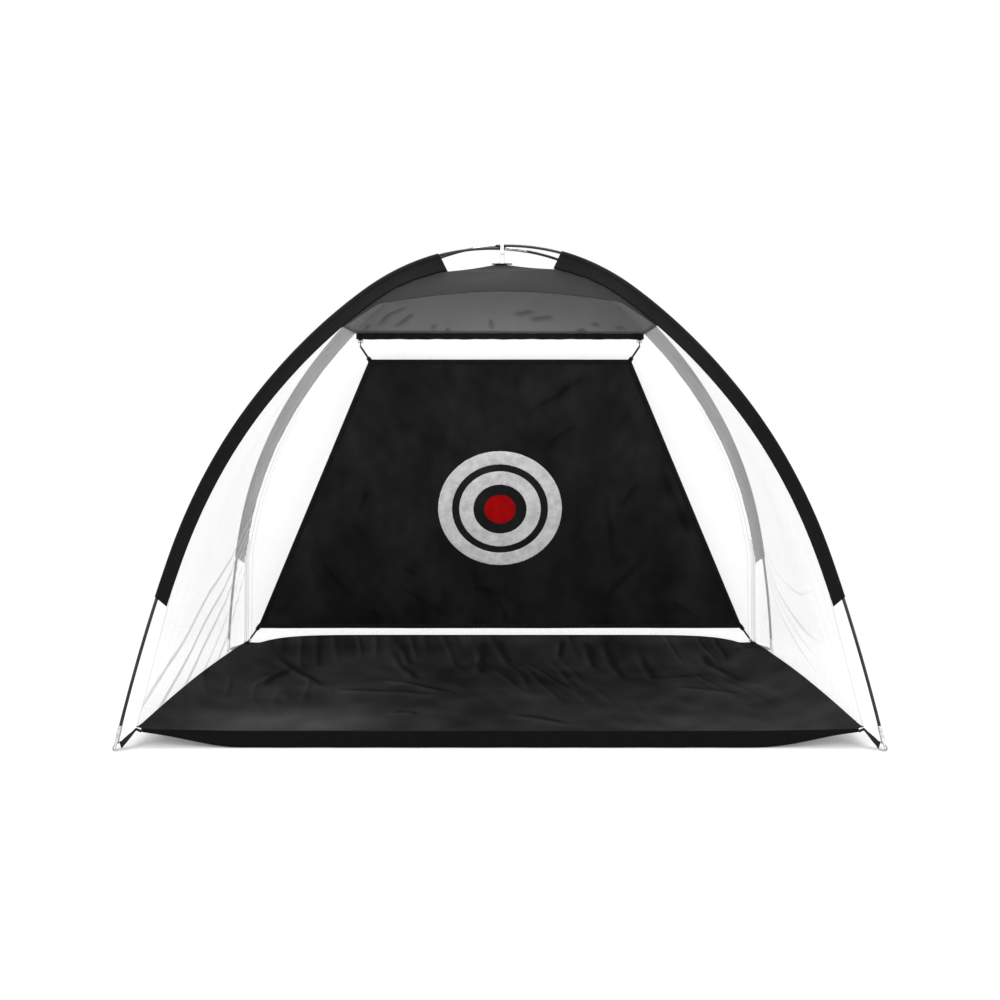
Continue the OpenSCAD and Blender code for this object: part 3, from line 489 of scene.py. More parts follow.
@functools.lru_cache(maxsize=None)
def leg(sx, sy, t):
    """A point on the axis of a leg: the crossing at t = 0, the foot at t = 1."""
    i = min(3, int(4 * t + 1e-9))
    turned, bend, run, fall = QUARTERS[i]
    angle = turned + bend * (4 * t - i)
    run = (run + (math.sin(angle) - math.sin(turned)) / bend) / RUN
    fall = (fall + (math.cos(turned) - math.cos(angle)) / bend) / FALL
    lift = (1 + math.cos(math.pi * t / STACK_END)) / 2 if t < STACK_END else 0.0
    return Vector((
        sx * HALF_WIDTH * run,
        sy * HALF_DEPTH * t * (1 - PLAN_BOW * (1 - t)),
        PIN + (CROSSING - PIN) * (1 - fall) - sx * sy * (POLE + STACK_GAP / 2) * lift,
    )).freeze()


@functools.lru_cache(maxsize=None)
def leg_axes(sx, sy, t):
    """Inward to the middle of the net, and sideways."""
    along = (leg(sx, sy, min(1, t + 0.01)) - leg(sx, sy, max(0, t - 0.01))).normalized()
    v = Vector((sx * along.z, -sy * 0.2, -sx * along.x))
    inward = (v - v.dot(along) * along).normalized()
    return inward.freeze(), along.cross(inward).freeze()


def on_leg(sx, sy, t, inwards, sideways=0.0):
    inward, side = leg_axes(sx, sy, t)
    return leg(sx, sy, t) + inward * inwards + side * sideways


def flat_reach(t):
    """How far a sleeve's flat reaches inward; it is fuller where the roof's peak pulls on it."""
    share = (t - SLEEVE_START) / (SLEEVE_END - SLEEVE_START)
    pulled = PEAK_PULL * (1 - ease((t - SLEEVE_START) / PEAK_PULL_END))
    return mix(SLEEVE_TOP, SLEEVE_FOOT, share) - POCKET + pulled


def floor_corner(sx, sy):
    return Vector((sx * FLOOR_WIDTH[sy], sy * FLOOR_DEPTH, CORNER_HEIGHT[sy]))


@functools.lru_cache(maxsize=None)
def sewn_edge(sx, sy, t):
    """The line that the cover is sewn along: peak, sleeve, then free down to the floor."""
    if t < SLEEVE_START:
        end = on_leg(sx, sy, SLEEVE_START, flat_reach(SLEEVE_START))
        sag = Vector((0, 0, -PEAK_SAG * math.sin(math.pi * t / SLEEVE_START)))
        return (mix(PEAK, end, t / SLEEVE_START) + sag).freeze()
    if t > SLEEVE_END:
        end = on_leg(sx, sy, SLEEVE_END, flat_reach(SLEEVE_END))
        return mix(end, floor_corner(sx, sy), (t - SLEEVE_END) / (1 - SLEEVE_END)).freeze()
    return on_leg(sx, sy, t, flat_reach(t)).freeze()


def free_part(t):
    """How far down the unsleeved part of a leg a place is."""
    return clamp((t - SLEEVE_END) / (1 - SLEEVE_END))


# How the floor's back and side edges rise between its corners.
BACK_ARCH = 0.07 - CORNER_HEIGHT[BACK]
SIDE_ARCH = 0.06 - (CORNER_HEIGHT[FRONT] + CORNER_HEIGHT[BACK]) / 2


def back_arch(q):
    return BACK_ARCH * (1 - min(1.0, abs(2 * q - 1) / 0.94) ** 10)


def side_arch(q):
    return SIDE_ARCH * math.sin(math.pi * q)


# ---- mesh helpers ----


def spline(points, s):
    """A smooth point at place s along a list of points."""
    i = min(len(points) - 2, int(s))
    q = s - i
    a, b, c, d = (points[clamp(i + k, 0, len(points) - 1)] for k in (-1, 0, 1, 2))
    cubic = (3 * b - a - 3 * c + d) * q ** 3
    return 0.5 * (2 * b + (c - a) * q + (2 * a - 5 * b + 4 * c - d) * q * q + cubic)


def along_path(table, s):
    """A straight step from one row of numbers to the next."""
    i = min(len(table) - 2, int(s))
    return [mix(a, b, s - i) for a, b in zip(table[i], table[i + 1])]


def length_of(points):
    return sum((b - a).length for a, b in zip(points, points[1:]))


def bell(x, width):
    """1 at x = 0, falling away smoothly over about a width on both sides."""
    return math.exp(-((x / width) ** 2))


def dome(u, v):
    """1 in the middle of a sheet and 0 at its edges."""
    return math.sin(math.pi * u) * math.sin(math.pi * v)


def finished(name, bm, finish, body, thickness=0.0, inside=None):
    """The piece that a bmesh makes, with its material, thickness, body and slot."""
    mesh = bpy.data.meshes.new(name)
    for face in bm.faces:
        face.smooth = True
    bm.to_mesh(mesh)
    bm.free()
    piece = bpy.data.objects.new(name, mesh)
    bpy.context.scene.collection.objects.link(piece)
    mesh.materials.append(finish.material)
    if thickness:
        solid = piece.modifiers.new("Thickness", "SOLIDIFY")
        solid.thickness = thickness
        solid.offset = 0
        solid.use_even_offset = True
        if inside:
            mesh.materials.append(inside.material)
            solid.material_offset = 1
    if body:
        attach(piece, body)
    return piece


def rolled(
        name, cells, size, place, finish, body="net", thickness=0.0, shut=False, fold=None,
        inside=None):
    """A grid of cloth whose points are put in place by place(u, v), u across and v along, both
    from 0 to 1. size is its width and length, which its UV map is drawn to. fold(u, v) says how
    dark a point is painted: painted shade and highlight in folds and creases, and on some pieces
    seams and patchy tone."""
    bm = bmesh.new()
    uv = bm.loops.layers.uv.new("UVMap")
    folds = bm.verts.layers.float.new("fold")
    bmesh.ops.create_grid(bm, x_segments=cells[0], y_segments=cells[1], size=1, calc_uvs=True)
    for face in bm.faces:
        for loop in face.loops:
            at = loop.vert.co
            loop[uv].uv = (at.x / 2 + 0.5) * size[0], (at.y / 2 + 0.5) * size[1]
    for vert in bm.verts:
        u, v = vert.co.x / 2 + 0.5, vert.co.y / 2 + 0.5
        if fold:
            vert[folds] = clamp(fold(u, v))
        vert.co = place(u, v)
    bmesh.ops.remove_doubles(bm, verts=bm.verts, dist=1e-6)
    bmesh.ops.dissolve_degenerate(bm, edges=bm.edges, dist=1e-7)
    if shut:
        bmesh.ops.holes_fill(bm, edges=[e for e in bm.edges if e.is_boundary], sides=0)
        bmesh.ops.recalc_face_normals(bm, faces=bm.faces)
    return finished(name, bm, finish, body, thickness, inside)


def block(name, size, rounding, place, finish, body="net"):
    """A box with rounded edges whose points are put in place by place(point)."""
    bm = bmesh.new()
    bm.loops.layers.uv.new("UVMap")
    bmesh.ops.create_cube(bm, size=1, calc_uvs=True)
    bmesh.ops.scale(bm, vec=size, verts=bm.verts)
    bmesh.ops.bevel(
        bm, geom=bm.edges[:], offset=rounding, segments=3, profile=0.5, affect="EDGES", material=-1)
    for vert in bm.verts:
        vert.co = place(vert.co)
    bmesh.ops.recalc_face_normals(bm, faces=bm.faces)
    return finished(name, bm, finish, body)


def tube(name, points, radius, finish, body="net", around=16, per_step=3):
    """A round tube through points, shut at both ends, with a UV map round and along it."""

    def place(u, v):
        s = v * (len(points) - 1)
        ahead = spline(points, min(len(points) - 1, s + 0.1)) - spline(points, max(0, s - 0.1))
        first = ahead.cross(Vector((0, 1, 0.2))).normalized()
        second = ahead.normalized().cross(first)
        angle = 2 * math.pi * u
        return spline(points, s) + radius * (math.cos(angle) * first + math.sin(angle) * second)

    cells = (around, (len(points) - 1) * per_step)
    size = (2 * math.pi * radius, length_of(points))
    return rolled(name, cells, size, place, finish, body, shut=True)


def band(name, path, width, finish, thickness, per_step=4):
    """Webbing along a path of (centre, side direction) pairs, width wide."""
    points = [centre for centre, _ in path]
    ways = [way for _, way in path]

    def place(u, v):
        s = v * (len(path) - 1)
        return spline(points, s) + spline(ways, s).normalized() * width * (u - 0.5)

    cells = (6, (len(path) - 1) * per_step)
    size = (width, length_of(points))
    return rolled(name, cells, size, place, finish, thickness=thickness)


def crumple(p, scale, seed=0.0):
    return noise.noise(p * scale + Vector((seed, seed * 1.7, -seed)))


CREASE_WANDER = 0.008


def ridge(x, y, crease):
    """How close a point is to a crease, from 0 to 1. A crease winds a little along its points and
    dies out at its ends."""
    points, width = crease
    best = 0.0
    x += CREASE_WANDER * crumple(Vector((x, y, 0)), 14, 3.0)
    y += CREASE_WANDER * crumple(Vector((x, y, 0)), 14, 9.0)
    for i, ((ax, ay), (bx, by)) in enumerate(zip(points, points[1:])):
        dx, dy = bx - ax, by - ay
        q = clamp(((x - ax) * dx + (y - ay) * dy) / (dx * dx + dy * dy))
        away = math.hypot(x - ax - q * dx, y - ay - q * dy)
        if away < 3 * width:
            along = (i + q) / (len(points) - 1)
            fade = ease(min(along, 1 - along) * 3 + 0.1)
            best = max(best, fade * bell(away, width))
    return best


def dress(nodes, finish):
    """Gives frame parts a better finish."""
    for name in nodes:
        data = frame["nodes"][name].data
        data.materials.clear()
        data.materials.append(finish.material)


# ---- poles and hardware ----

# Radius of a shock cord, the share of a leg that it reaches and its steps on one leg.
SHOCK_RADIUS, SHOCK_REACH, SHOCK_STEPS = 0.00122, 0.985, 60


class MakePoles(bpy.types.Operator):
    """Resin for the pole sections, steel for their ferrules and tips, and the elastic inside them."""

    bl_idname = "chipping_net.poles"
    bl_label = "Poles"

    def execute(self, context):
        sections = [f"pole_{p}_section_{n}" for p in "ab" for n in range(1, 9)]
        dress(sections, resin_finish("pole resin", colours().pole))
        steel = steel_finish("ferrule steel", colours().steel)
        dress(["pole_a_ferrules", "pole_b_ferrules"], steel)
        dress([f"pole_tip_{c}" for c in CORNERS], steel_finish("tip steel", (0.85, 0.85, 0.85), 0.5))
        braid = braid_finish("shock cord braid", (0.05, 0.05, 0.055))
        steps = [SHOCK_REACH * k / SHOCK_STEPS for k in range(SHOCK_STEPS + 1)]
        for p, front in (("a", RIGHT), ("b", LEFT)):
            path = [leg(-front, BACK, SHOCK_REACH - t) for t in steps[:-1]]
            path += [leg(front, FRONT, t) for t in steps]
            cord = tube(
                f"shock_cord_{p}", path, SHOCK_RADIUS, braid, around=8, per_step=1)
            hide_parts(f"pole_{p}_shock_cord")
        return {"FINISHED"}


class MakeHardware(bpy.types.Operator):
    """Better finishes for the rings, the hooks and the white clip at the crossing."""

    bl_idname = "chipping_net.hardware"
    bl_label = "Rings, hooks and clip"

    def execute(self, context):
        wire = steel_finish("ring wire", shade(colours().steel, 0.8), 0.34)
        dress(["corner_rings", "hem_rings", "floor_rings"], wire)
        dress(["top_hooks"], resin_finish("hook coating", (0.03, 0.03, 0.033), 0.42))
        dress(["bottom_hooks"], resin_finish("lower hook coating", (0.2, 0.2, 0.21), 0.42))
        dress(["apex_clip"], plastic_finish("clip plastic", (0.85, 0.85, 0.84)))
        return {"FINISHED"}


# ---- sleeves ----

# Radius of the cloth round a pole, the share of its width that goes round, half the distance
# between the layers of the flat, and how much longer than its solid a sleeve is, as a share of a leg.
SNUG, NECK, FLAT_HALF, SLEEVE_EXTRA = 0.0063, 0.4, 0.00095, 0.007


def sleeve_profile(u, reach):
    """Across a sleeve, from one layer of its flat round the pole to the other layer."""
    turn = abs(2 * u - 1)
    side = 1 if u < 0.5 else -1
    if turn <= NECK:
        angle = math.radians(180 - 135 * turn / NECK)
        return SNUG * math.cos(angle), side * SNUG * math.sin(angle)
    q = (turn - NECK) / (1 - NECK)
    start = SNUG * math.sqrt(0.5)
    return mix(start, reach, q), side * mix(start, FLAT_HALF, ease(q * 1.6))


class MakeSleeves(bpy.types.Operator):
    """Cloth sleeves round the poles, each a pocket with a sewn flat."""

    bl_idname = "chipping_net.sleeves"
    bl_label = "Sleeves"

    def execute(self, context):
        finish = woven_finish(
            "sleeve cloth", colours().sleeve, rough=0.75, sheen=0.04, lift=1.7, drop=0.6,
            crease=0.002, gloss=0.12)

        def seams_and_foot_shade(u, v):
            turn = abs(2 * u - 1)
            edge = ease((turn - 0.9) * 14)
            row = 0.8 * bell(turn - NECK - 0.06, 0.025)
            # The edge and the row are dark seams. The last term is painted shade, darkening the sleeve
            # towards its foot.
            return max(edge, row, 0.85 * ease(v * 1.7 - 0.25))

        for corner, (sx, sy) in CORNERS.items():

            def place(u, v, sx=sx, sy=sy):
                t = mix(SLEEVE_START, SLEEVE_END + SLEEVE_EXTRA, v)
                reach = flat_reach(t)
                inwards, sideways = sleeve_profile(u, reach)
                loose = clamp(inwards / reach)
                slant = ease((v - 0.93) / 0.07) - 0.5 * ease((0.05 - v) / 0.05)
                t += inwards * FOOT_SLANT * T_PER_METRE * slant
                p = on_leg(sx, sy, t, inwards, sideways)
                pucker = 0.0011 * math.sin(v * 420 + 3 * crumple(p, 9)) * loose * loose
                wander = 0.0022 * crumple(p, 24, 3.0) * loose
                return p + leg_axes(sx, sy, t)[1] * (pucker + wander)

            sleeve = rolled(
                f"sleeve_{corner}_cloth", (40, 300), (0.12, 1.36), place, finish,
                thickness=0.0006, fold=seams_and_foot_shade)
            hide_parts(f"sleeve_{corner}")
        return {"FINISHED"}


# ---- roof ----

# Cells of the sheet across a wide gore, across a narrow one and down them all.
WIDE, NARROW, DOWN = 112, 28, 72
# For each gore: side and depth of its first leg, the same of its second, and cells across.
GORES = [
    (RIGHT, FRONT, LEFT, FRONT, WIDE),
    (LEFT, FRONT, LEFT, BACK, NARROW),
    (LEFT, BACK, RIGHT, BACK, WIDE),
    (RIGHT, BACK, RIGHT, FRONT, NARROW),
]
ROUND = 2 * (WIDE + NARROW)
GORE_WIDTH, GORE_LENGTH = 0.9, 0.62
# Creases of the back gore: their points, in metres from its left end and its peak, and width.
BACK_CREASES = [
    ([(0.050, 0.592), (0.057, 0.525), (0.099, 0.477)], 0.011),
    ([(0.109, 0.598), (0.129, 0.557), (0.140, 0.518)], 0.010),
    ([(0.231, 0.603), (0.235, 0.570)], 0.008),
    ([(0.282, 0.612), (0.275, 0.587)], 0.007),
    ([(0.421, 0.606), (0.418, 0.544)], 0.008),
    ([(0.018, 0.604), (0.018, 0.568)], 0.008),
    ([(0.491, 0.523), (0.582, 0.497)], 0.011),
    ([(0.548, 0.549), (0.641, 0.527)], 0.014),
    ([(0.689, 0.605), (0.726, 0.600)], 0.008),
    ([(0.752, 0.583), (0.783, 0.565)], 0.009),
    ([(0.815, 0.594), (0.860, 0.594)], 0.008),
]


def gore_at(u):
    """The gore that u across the roof falls in, and how far across that gore it is."""
    column = u * ROUND
    for gore in GORES:
        if column <= gore[4] + 1e-6:
            return gore, clamp(column / gore[4])
        column -= gore[4]
    return GORES[-1], 1.0


def back_crease(q, v):
    return max(ridge(q * GORE_WIDTH, v * GORE_LENGTH, crease) for crease in BACK_CREASES)


class MakeCanopy(bpy.types.Operator):
    """The roof, one continuous sheet from its peak over the four sleeves down to its hem."""

    bl_idname = "chipping_net.canopy"
    bl_label = "Canopy"

    # How dark each point is painted: darkest along the hem band, and painted shade in the back gore's
    # creases.
    def folded(self, u, v):
        (_, ay, _, by, _), q = gore_at(u)
        if v > 0.98 and not ay == by == FRONT:
            return 1.0
        return 0.75 * back_crease(q, v) if ay == by == BACK else 0.0

    def surface(self, u, v):
        (ax, ay, bx, by, _), q = gore_at(u)
        crease = sizes().crease
        front, back = ay == by == FRONT, ay == by == BACK
        end = HEM
        if front:
            shoulder = ease(min(q, 1 - q) / 0.03)
            curve = mix(FRONT_HEM_SIDE, FRONT_HEM_MIDDLE, 1 - (2 * q - 1) ** 2)
            end = mix(HEM, curve, shoulder)
        t = end * v
        p = mix(sewn_edge(ax, ay, t), sewn_edge(bx, by, t), q)
        swell = dome(q, v)
        lift = crease * 0.25 * crumple(p, 16, 2.0) * swell
        if back:
            lift -= 0.006 * swell * math.cos(6 * math.pi * q)
            lift += crease * back_crease(q, v)
            lift += crease * 0.5 * crumple(p, 30, 4.0) * ease((v - 0.7) * 4) * ease((1 - v) * 12)
        elif front:
            lift += crease * 0.3 * crumple(p, 7, 5.0) * swell - 0.002 * swell
        else:
            lift += crease * 0.8 * math.sin(q * 14 + v * 3) * swell - 0.007 * swell
        return p + Vector((0, 0, lift))

    def execute(self, context):
        c = colours()
        outside = woven_finish("roof cloth outside", c.roof_outside, lift=1.25, drop=0.8, crease=0.001)
        # The paler inner side carries painted light that shines through the cloth.
        inside = woven_finish("roof cloth inside painted backlight", c.roof_inside_painted_backlight, lift=1.12, drop=0.86, crease=0.001)
        roof = rolled(
            "canopy", (ROUND, DOWN), (2.9, 0.6), self.surface, outside,
            thickness=sizes().cloth, fold=self.folded, inside=inside)
        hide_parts("roof_front", "roof_back", "roof_left", "roof_right")
        return {"FINISHED"}


class MakeRoofTrim(bpy.types.Operator):
    """Tape on the back hem, and the patch and strap at the peak."""

    bl_idname = "chipping_net.roof_trim"
    bl_label = "Roof trim"

    def execute(self, context):
        self.hem_tape()
        self.peak_patch()
        self.peak_strap()
        return {"FINISHED"}

    def hem_tape(self):
        finish = webbing_finish("hem tape", colours().webbing, rib=0.002)
        low, high = (Vector(c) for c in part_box("roof_back_hem"))
        high.z = max(high.z, sewn_edge(LEFT, BACK, HEM).z) + 0.0008
        middle = (low + high) / 2
        half = (high.z - low.z) / 2

        def place(u, v):
            angle = 2 * math.pi * u
            across, up = math.cos(angle), math.sin(angle)
            ripple = 0.0006 * math.sin(v * 95) + 0.0005 * math.sin(v * 41 + 2)
            return Vector((
                mix(low.x, high.x, v),
                middle.y + 0.0011 * math.copysign(abs(across) ** 0.4, across) + ripple * 0.3,
                middle.z + half * math.copysign(abs(up) ** 0.5, up) + ripple * (1 - up) / 2,
            ))

        size = (0.037, high.x - low.x)
        tape = rolled("canopy_back_hem", (24, 240), size, place, finish, shut=True)
        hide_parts("roof_back_hem")

    def peak_patch(self):
        low, high = (Vector(c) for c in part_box("peak_patch"))
        finish = woven_finish("peak patch cloth", colours().roof_outside, lift=1.3)
        centre = (low + high) / 2

        def place(p):
            return p + centre

        patch = block("peak_patch_cloth", high - low, 0.0007, place, finish)
        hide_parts("peak_patch")

    def peak_strap(self):
        low, high = (Vector(c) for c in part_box("peak_loop"))
        finish = webbing_finish("peak webbing", (0.7, 0.7, 0.7), rib=0.002)
        x = (low.x + high.x) / 2
        top = high.z - 0.0009
        foot = low.z + 0.0008
        half = high.x - x
        reach = half - 0.012
        right = [
            (half - 0.001, foot),
            (reach + 0.004, foot),
            (reach + 0.0008, foot + 0.004),
            (reach + 0.0003, mix(foot, top, 0.5)),
            (reach + 0.0003, top - 0.002),
            (reach - 0.002, top),
        ]
        line = right + [(-dx, z) for dx, z in reversed(right)]
        path = [(Vector((x + dx, 0, z)), Vector((0, 1, 0))) for dx, z in line]
        strap = band("peak_strap", path, 0.0098, finish, 0.0014)
        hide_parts("peak_loop")


# ---- nets ----

SIDE_MESH, BACK_MESH = (0.9, 1.12), (1.8, 1.2)
# Hems and gathers along the nets' edges, in metres of their UV maps, first v and strength; the mesh
# is denser there and its thread darkened with painted shade.
SIDE_STRIPS = [(-0.001, 0.006, 0.79, 1.0)]
BACK_STRIPS = [(-0.001, 0.066, 0.79, 0.8), (0.078, 0.09, 0.3, 0.8), (0.118, 0.126, 0.35, 0.6)]
# Painted folds that run out from the lower ends of the back sleeves, where the thread is denser and
# darkened with painted shade: the middle of the fan, how much it bends, each fold's angle as a share
# of a right angle and its strength, how wide they are and how far they reach.
LEFT_FOLDS = [(0.272, 1.0), (0.329, 1.0), (0.381, 1.0), (0.44, 0.6), (0.497, 0.9)]
RIGHT_FOLDS = [(0.5, 0.5), (0.678, 0.9), (0.75, 0.4), (0.822, 0.6)]
FANS = {
    "left": ((1.25, 0.5), 0.0, LEFT_FOLDS, 0.0085, 1.8),
    "right": ((0.75, 0.7), 1.047, RIGHT_FOLDS, 0.011, 0.62),
}


def both_edges(strips, width):
    """The strips along one edge of a net, and the same along its other edge."""
    both = []
    for low, high, first, strength in strips:
        both.append((low, high, first, strength))
        both.append((width - high, width - low, first, strength))
    return both


def net_t(v):
    return mix(HEM + 0.0005, 1.0, v)


def between(a, b, q, gap):
    """A share q of the way between two sewn edges, of which a gap is left free at both ends."""
    gap /= (b - a).length
    return mix(a, b, mix(gap, 1 - gap, q))


def onto_edge(arch, t):
    """How far a net's lower end is lifted, to follow the arch of the floor's edge and lie on it."""
    free = free_part(t)
    return arch * free + 0.0017 * ease((free - 0.8) * 5)


def below_sleeves(q, t):
    """Small folds that run from the ends of two sleeves down to the floor's edge."""
    return below_sleeve(q, t) + below_sleeve(1 - q, t)


def below_sleeve(away, t):
    if t < 0.62:
        return 0.0
    spread = math.atan2(away, (1.04 - t) * 1.3 + 0.02)
    near = bell(away, 0.28) * ease(away * 14)
    return 0.45 * math.sin(spread * 26) * near * ease((t - 0.62) * 4) * ease((1 - t) * 8)


class MakeNets(bpy.types.Operator):
    """The mesh walls at the sides and the back."""

    bl_idname = "chipping_net.nets"
    bl_label = "Nets"

    def execute(self, context):
        for side in SIDES:
            self.side_net(side)
        self.back_net()
        return {"FINISHED"}

    def side_net(self, name):
        sx = SIDES[name]
        fold = sizes().net_fold
        strips = both_edges(SIDE_STRIPS, SIDE_MESH[0])
        finish = mesh_finish(f"{name} mesh", colours().mesh, strips, FANS[name])

        def place(u, v):
            t = net_t(v)
            p = between(sewn_edge(sx, FRONT, t), sewn_edge(sx, BACK, t), u, gap=0.0016)
            deep = dome(u, v)
            out = 0.008 * deep * math.cos(4 * math.pi * u)
            out += fold * (below_sleeves(u, t) + 0.5 * crumple(p, 5, 4.0) * deep)
            return p + Vector((sx * out, 0, onto_edge(side_arch(u), t)))

        net = rolled(
            f"net_{name}_mesh", (84, 120), SIDE_MESH, place, finish,
            thickness=sizes().mesh)
        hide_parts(f"net_{name}")

    def back_net(self):
        fold = sizes().net_fold
        finish = mesh_finish("back mesh", colours().mesh, both_edges(BACK_STRIPS, BACK_MESH[0]))
        low, high = (Vector(c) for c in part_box("roof_back_hem"))
        tape = Vector((0, (low.y + high.y) / 2, low.z - 0.0009))

        def place(u, v):
            t = net_t(v)
            q = (1 + math.sin(math.pi / 2 * (2 * u - 1))) / 2
            p = between(sewn_edge(LEFT, BACK, t), sewn_edge(RIGHT, BACK, t), q, gap=0.0012)
            deep = dome(q, v)
            belly = 0.06 * (1 - abs(2 * q - 1) ** 10) * ease((t - HEM) / 0.2)
            out = belly * (1 - 0.5 * free_part(t) ** 3) * ease((1 - t) / 0.03)
            out += 0.004 * deep * math.cos(8 * math.pi * q) + fold * 0.6 * crumple(p, 4, 9.0) * deep
            out += fold * below_sleeves(q, t)
            loose = p + Vector((0, out, onto_edge(back_arch(q), t)))
            return mix(Vector((p.x, tape.y, tape.z)), loose, ease((t - HEM) / 0.012))

        net = rolled(
            "net_back_mesh", (130, 130), BACK_MESH, place, finish,
            thickness=sizes().mesh)
        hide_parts("net_back")


# ---- floor ----

# How far in from its edges the floor cloth rises, the share of its front edge that is level, the
# height of that edge, and of the middle of the cloth where it lies on the ground.
RISE, FLAT_FRONT, FRONT_EDGE, LYING = 0.19, 0.7, 0.044, 0.0007
# The skirt, a near-black strip down to the ground that paints the shade under the floor's front
# edge: its width as a share of that edge, its height at its ends and how low its middle hangs.
SKIRT_WIDTH, SKIRT_END, SKIRT_LOW = 0.985, 0.009, 0.0004
# Creases of the floor cloth: their points, in metres from its middle, and width.
FLOOR_CREASES = [
    ([(-0.81, 0.40), (-0.554, 0.04)], 0.013),
    ([(-0.554, 0.03), (-0.388, 0.0), (-0.2, -0.02)], 0.014),
    ([(-0.40, 0.43), (-0.27, 0.12)], 0.013),
    ([(-0.37, 0.45), (-0.31, 0.30)], 0.011),
    ([(-0.071, 0.46), (-0.073, 0.18)], 0.013),
    ([(-0.02, 0.45), (0.03, 0.33)], 0.012),
    ([(0.373, 0.455), (0.40, 0.143)], 0.014),
    ([(0.30, 0.46), (0.33, 0.25)], 0.012),
    ([(0.493, 0.45), (0.503, 0.143), (0.72, 0.2)], 0.014),
    ([(0.22, 0.46), (0.20, 0.35)], 0.012),
    ([(-0.404, 0.13), (-0.286, 0.08), (-0.126, -0.03)], 0.013),
    ([(0.70, 0.42), (0.78, 0.12)], 0.016),
    ([(0.55, 0.05), (0.75, -0.02)], 0.015),
    ([(-0.33, -0.19), (-0.24, -0.21)], 0.012),
    ([(0.02, -0.22), (0.2, -0.30)], 0.014),
    ([(-0.72, 0.30), (-0.79, 0.05)], 0.018),
]
# Painted highlights, where the floor cloth is painted paler as if more light fell on it: their
# middle, half width, half depth and how much.
PAINTED_HIGHLIGHTS = [(-0.6, -0.3, 0.26, 0.15, 0.7), (0.62, -0.3, 0.22, 0.14, 0.35), (-0.5, 0.22, 0.2, 0.12, 0.2)]


def near_edge(d):
    """How much of an edge's height is left at a distance d from it."""
    return clamp(1 - d / RISE) ** 2


def front_height(x):
    share = clamp((abs(x) - FLAT_FRONT) / (1 - FLAT_FRONT))
    return mix(FRONT_EDGE, CORNER_HEIGHT[FRONT], share ** 1.3)


def floor_at(x, y):
    """The floor cloth at a share x of its half width and y of its half depth."""
    share = (y + 1) / 2
    half = mix(FLOOR_WIDTH[FRONT], FLOOR_WIDTH[BACK], share)
    side = mix(CORNER_HEIGHT[FRONT], CORNER_HEIGHT[BACK], share) + side_arch(share)
    back = CORNER_HEIGHT[BACK] + back_arch((x + 1) / 2)
    rises = [
        side * near_edge(half * (1 - abs(x))),
        front_height(x) * near_edge(FLOOR_DEPTH * (1 + y)),
        back * near_edge(FLOOR_DEPTH * (1 - y)),
    ]
    soft = sum(r ** 8 for r in rises) ** (1 / 8)
    return Vector((x * half, y * FLOOR_DEPTH, max(LYING, soft)))


